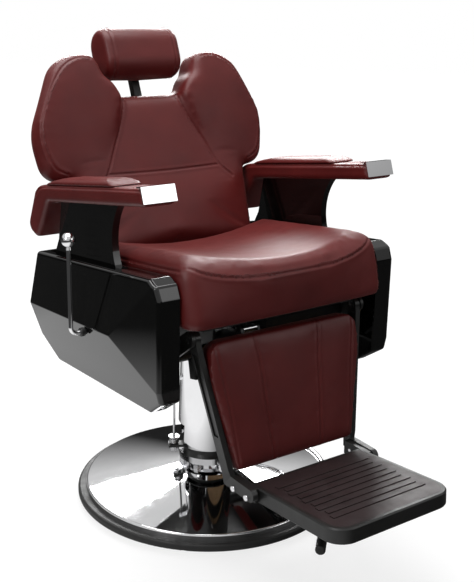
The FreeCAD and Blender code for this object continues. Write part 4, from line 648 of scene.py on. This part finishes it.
# Camera at the photograph's viewing angle

YAW, PITCH, ROLL = 0.634443, 0.292692, 0.02042
CAMERA_PLACE = (-1304.5, -1881.07, 1203.73)
FOCAL_PIXELS, PHOTO_HEIGHT = 998.08, 582
SENSOR_WIDTH = 36
ahead = Vector((math.cos(PITCH) * math.sin(YAW), math.cos(PITCH) * math.cos(YAW),
                -math.sin(PITCH)))
right = Vector((math.cos(YAW), -math.sin(YAW), 0))
above = right.cross(ahead)
turned_right = right * math.cos(ROLL) + above * math.sin(ROLL)
turned_up = above * math.cos(ROLL) - right * math.sin(ROLL)
lens = bpy.data.cameras.new("photo_camera")
lens.sensor_width = SENSOR_WIDTH
lens.lens = FOCAL_PIXELS / PHOTO_HEIGHT * SENSOR_WIDTH
lens.clip_end = 60
camera = bpy.data.objects.new("photo_camera", lens)
scene.collection.objects.link(camera)
pose = Matrix((turned_right, turned_up, -ahead)).transposed().to_4x4()
pose.translation = Vector(CAMERA_PLACE) * MM
camera.matrix_world = pose
scene.camera = camera


# Floor and light

WHITE = (1, 1, 1, 1)
LIT_SIDE = (-0.85, -0.53, 0)


def maths(tree, kind, first, second):
    """Math node on two inputs, each a socket or a number."""
    node = tree.nodes.new("ShaderNodeMath")
    node.operation = kind
    for socket, given in zip(node.inputs, (first, second)):
        if isinstance(given, (int, float)):
            socket.default_value = given
        else:
            tree.links.new(given, socket)
    return node.outputs[0]


def towards(tree, vector, way):
    """How far a vector points along a direction, as a dot product."""
    node = tree.nodes.new("ShaderNodeVectorMath")
    node.operation = "DOT_PRODUCT"
    tree.links.new(vector, node.inputs[0])
    node.inputs[1].default_value = way
    return node.outputs["Value"]


def distance(tree, vector):
    """Length of a vector."""
    node = tree.nodes.new("ShaderNodeVectorMath")
    node.operation = "LENGTH"
    tree.links.new(vector, node.inputs[0])
    return node.outputs["Value"]


def mixed(tree, share, first, second):
    """Mix of two shaders by a factor."""
    node = tree.nodes.new("ShaderNodeMixShader")
    tree.links.new(share, node.inputs["Fac"])
    tree.links.new(first, node.inputs[1])
    tree.links.new(second, node.inputs[2])
    return node.outputs[0]


def floor_material():
    """Studio floor: shadowed paper that pales to white away from the chair.

    Gloss sees a painted glow in place of the paper, bright on the lit side near the chair only,
    and diffuse light meets a dim grey, so that it throws little light up at the chair.
    """
    made, tree, surface = shader("pale_floor")
    place = coordinates(tree)
    paper = ramp(tree, noise(tree, place, scale=3, detail=3),
                 [(NOISE_LOW, (0.88, 0.88, 0.88)), (NOISE_HIGH, (0.92, 0.92, 0.92))])
    tree.links.new(paper, surface.inputs["Base Color"])
    surface.inputs["Roughness"].default_value = 0.7
    surface.inputs["Specular IOR Level"].default_value = 0.0
    path = tree.nodes.new("ShaderNodeLightPath")
    glow = tree.nodes.new("ShaderNodeEmission")
    glow.inputs["Strength"].default_value = 1.06
    away = distance(tree, place)
    pale = spread(tree, away, low=0.8, high=2.6, to_low=0.72, to_high=1.0)
    seen = mixed(tree, maths(tree, "MULTIPLY", path.outputs["Is Camera Ray"], pale),
                 surface.outputs[0], glow.outputs[0])
    near = spread(tree, away, low=1.15, high=1.75, to_low=1.0, to_high=0.0)
    side = spread(tree, towards(tree, place, (-1, 0, 0)), low=-0.05, high=0.5,
                  to_low=0.0, to_high=1.0)
    lit = maths(tree, "MAXIMUM", maths(tree, "MULTIPLY", near, side), 0.05)
    # Painted reflection: in gloss the floor is an emission, bright near the chair on the lit
    # side and faint elsewhere.
    painted_floor_glow = tree.nodes.new("ShaderNodeEmission")
    tree.links.new(lit, painted_floor_glow.inputs["Strength"])
    dim = tree.nodes.new("ShaderNodeBsdfDiffuse")
    dim.inputs["Color"].default_value = (0.30, 0.30, 0.30, 1)
    other = mixed(tree, path.outputs["Is Diffuse Ray"], seen, dim.outputs[0])
    both = mixed(tree, path.outputs["Is Glossy Ray"], other, painted_floor_glow.outputs[0])
    tree.links.new(both, tree.nodes["Material Output"].inputs["Surface"])
    return made


bpy.ops.mesh.primitive_circle_add(vertices=96, radius=14, fill_type="NGON", location=(0, 0, 0))
floor = bpy.context.object
floor.name = "floor"
floor.data.materials.append(floor_material())

# The world is white to the camera and through glass, a dim room with a bright upper half and
# one bright side in gloss, and a soft even light otherwise.
world = bpy.data.worlds.new("studio")
scene.world = world
world.use_nodes = True
tree = world.node_tree
soft = tree.nodes["Background"]
soft.inputs["Color"].default_value = WHITE
soft.inputs["Strength"].default_value = 0.16
white = tree.nodes.new("ShaderNodeBackground")
white.inputs["Color"].default_value = WHITE
white.inputs["Strength"].default_value = 1.0
room = tree.nodes.new("ShaderNodeBackground")
way = tree.nodes.new("ShaderNodeTexCoord").outputs["Generated"]
upper = spread(tree, towards(tree, way, (0, 0, 1)), low=0.16, high=0.42,
               to_low=0.02, to_high=0.85)
panel = spread(tree, towards(tree, way, LIT_SIDE), low=0.5, high=0.8, to_low=0.0, to_high=0.7)
tree.links.new(maths(tree, "MAXIMUM", upper, panel), room.inputs["Strength"])
path = tree.nodes.new("ShaderNodeLightPath")
plain_white = maths(tree, "MAXIMUM", path.outputs["Is Camera Ray"],
                    path.outputs["Is Transmission Ray"])
inner = mixed(tree, path.outputs["Is Glossy Ray"], soft.outputs[0], room.outputs[0])
outer = mixed(tree, plain_white, inner, white.outputs[0])
tree.links.new(outer, tree.nodes["World Output"].inputs["Surface"])


def softbox(name, spot, target, width, height, power):
    """Rectangular area lamp that faces the target."""
    lamp = bpy.data.lights.new(name, "AREA")
    lamp.shape = "RECTANGLE"
    lamp.size = width
    lamp.size_y = height
    lamp.energy = power
    made = bpy.data.objects.new(name, lamp)
    scene.collection.objects.link(made)
    made.location = spot
    facing = (Vector(target) - Vector(spot)).to_track_quat("-Z", "Y")
    made.rotation_euler = facing.to_euler()


softbox("top", spot=(-0.2, 0.3, 3.2), target=(0, 0, 0.5), width=2.6, height=2.6, power=85)
softbox("key", spot=(-2.7, -0.9, 2.4), target=(0, 0, 0.7), width=1.0, height=1.6, power=22)
softbox("rim", spot=(1.5, 2.4, 2.25), target=(0, 0.2, 0.9), width=2.4, height=0.9, power=125)
softbox("fill", spot=(1.6, -3.0, 1.6), target=(0, 0, 0.5), width=1.2, height=1.6, power=8)

scene.view_settings.view_transform = "Standard"
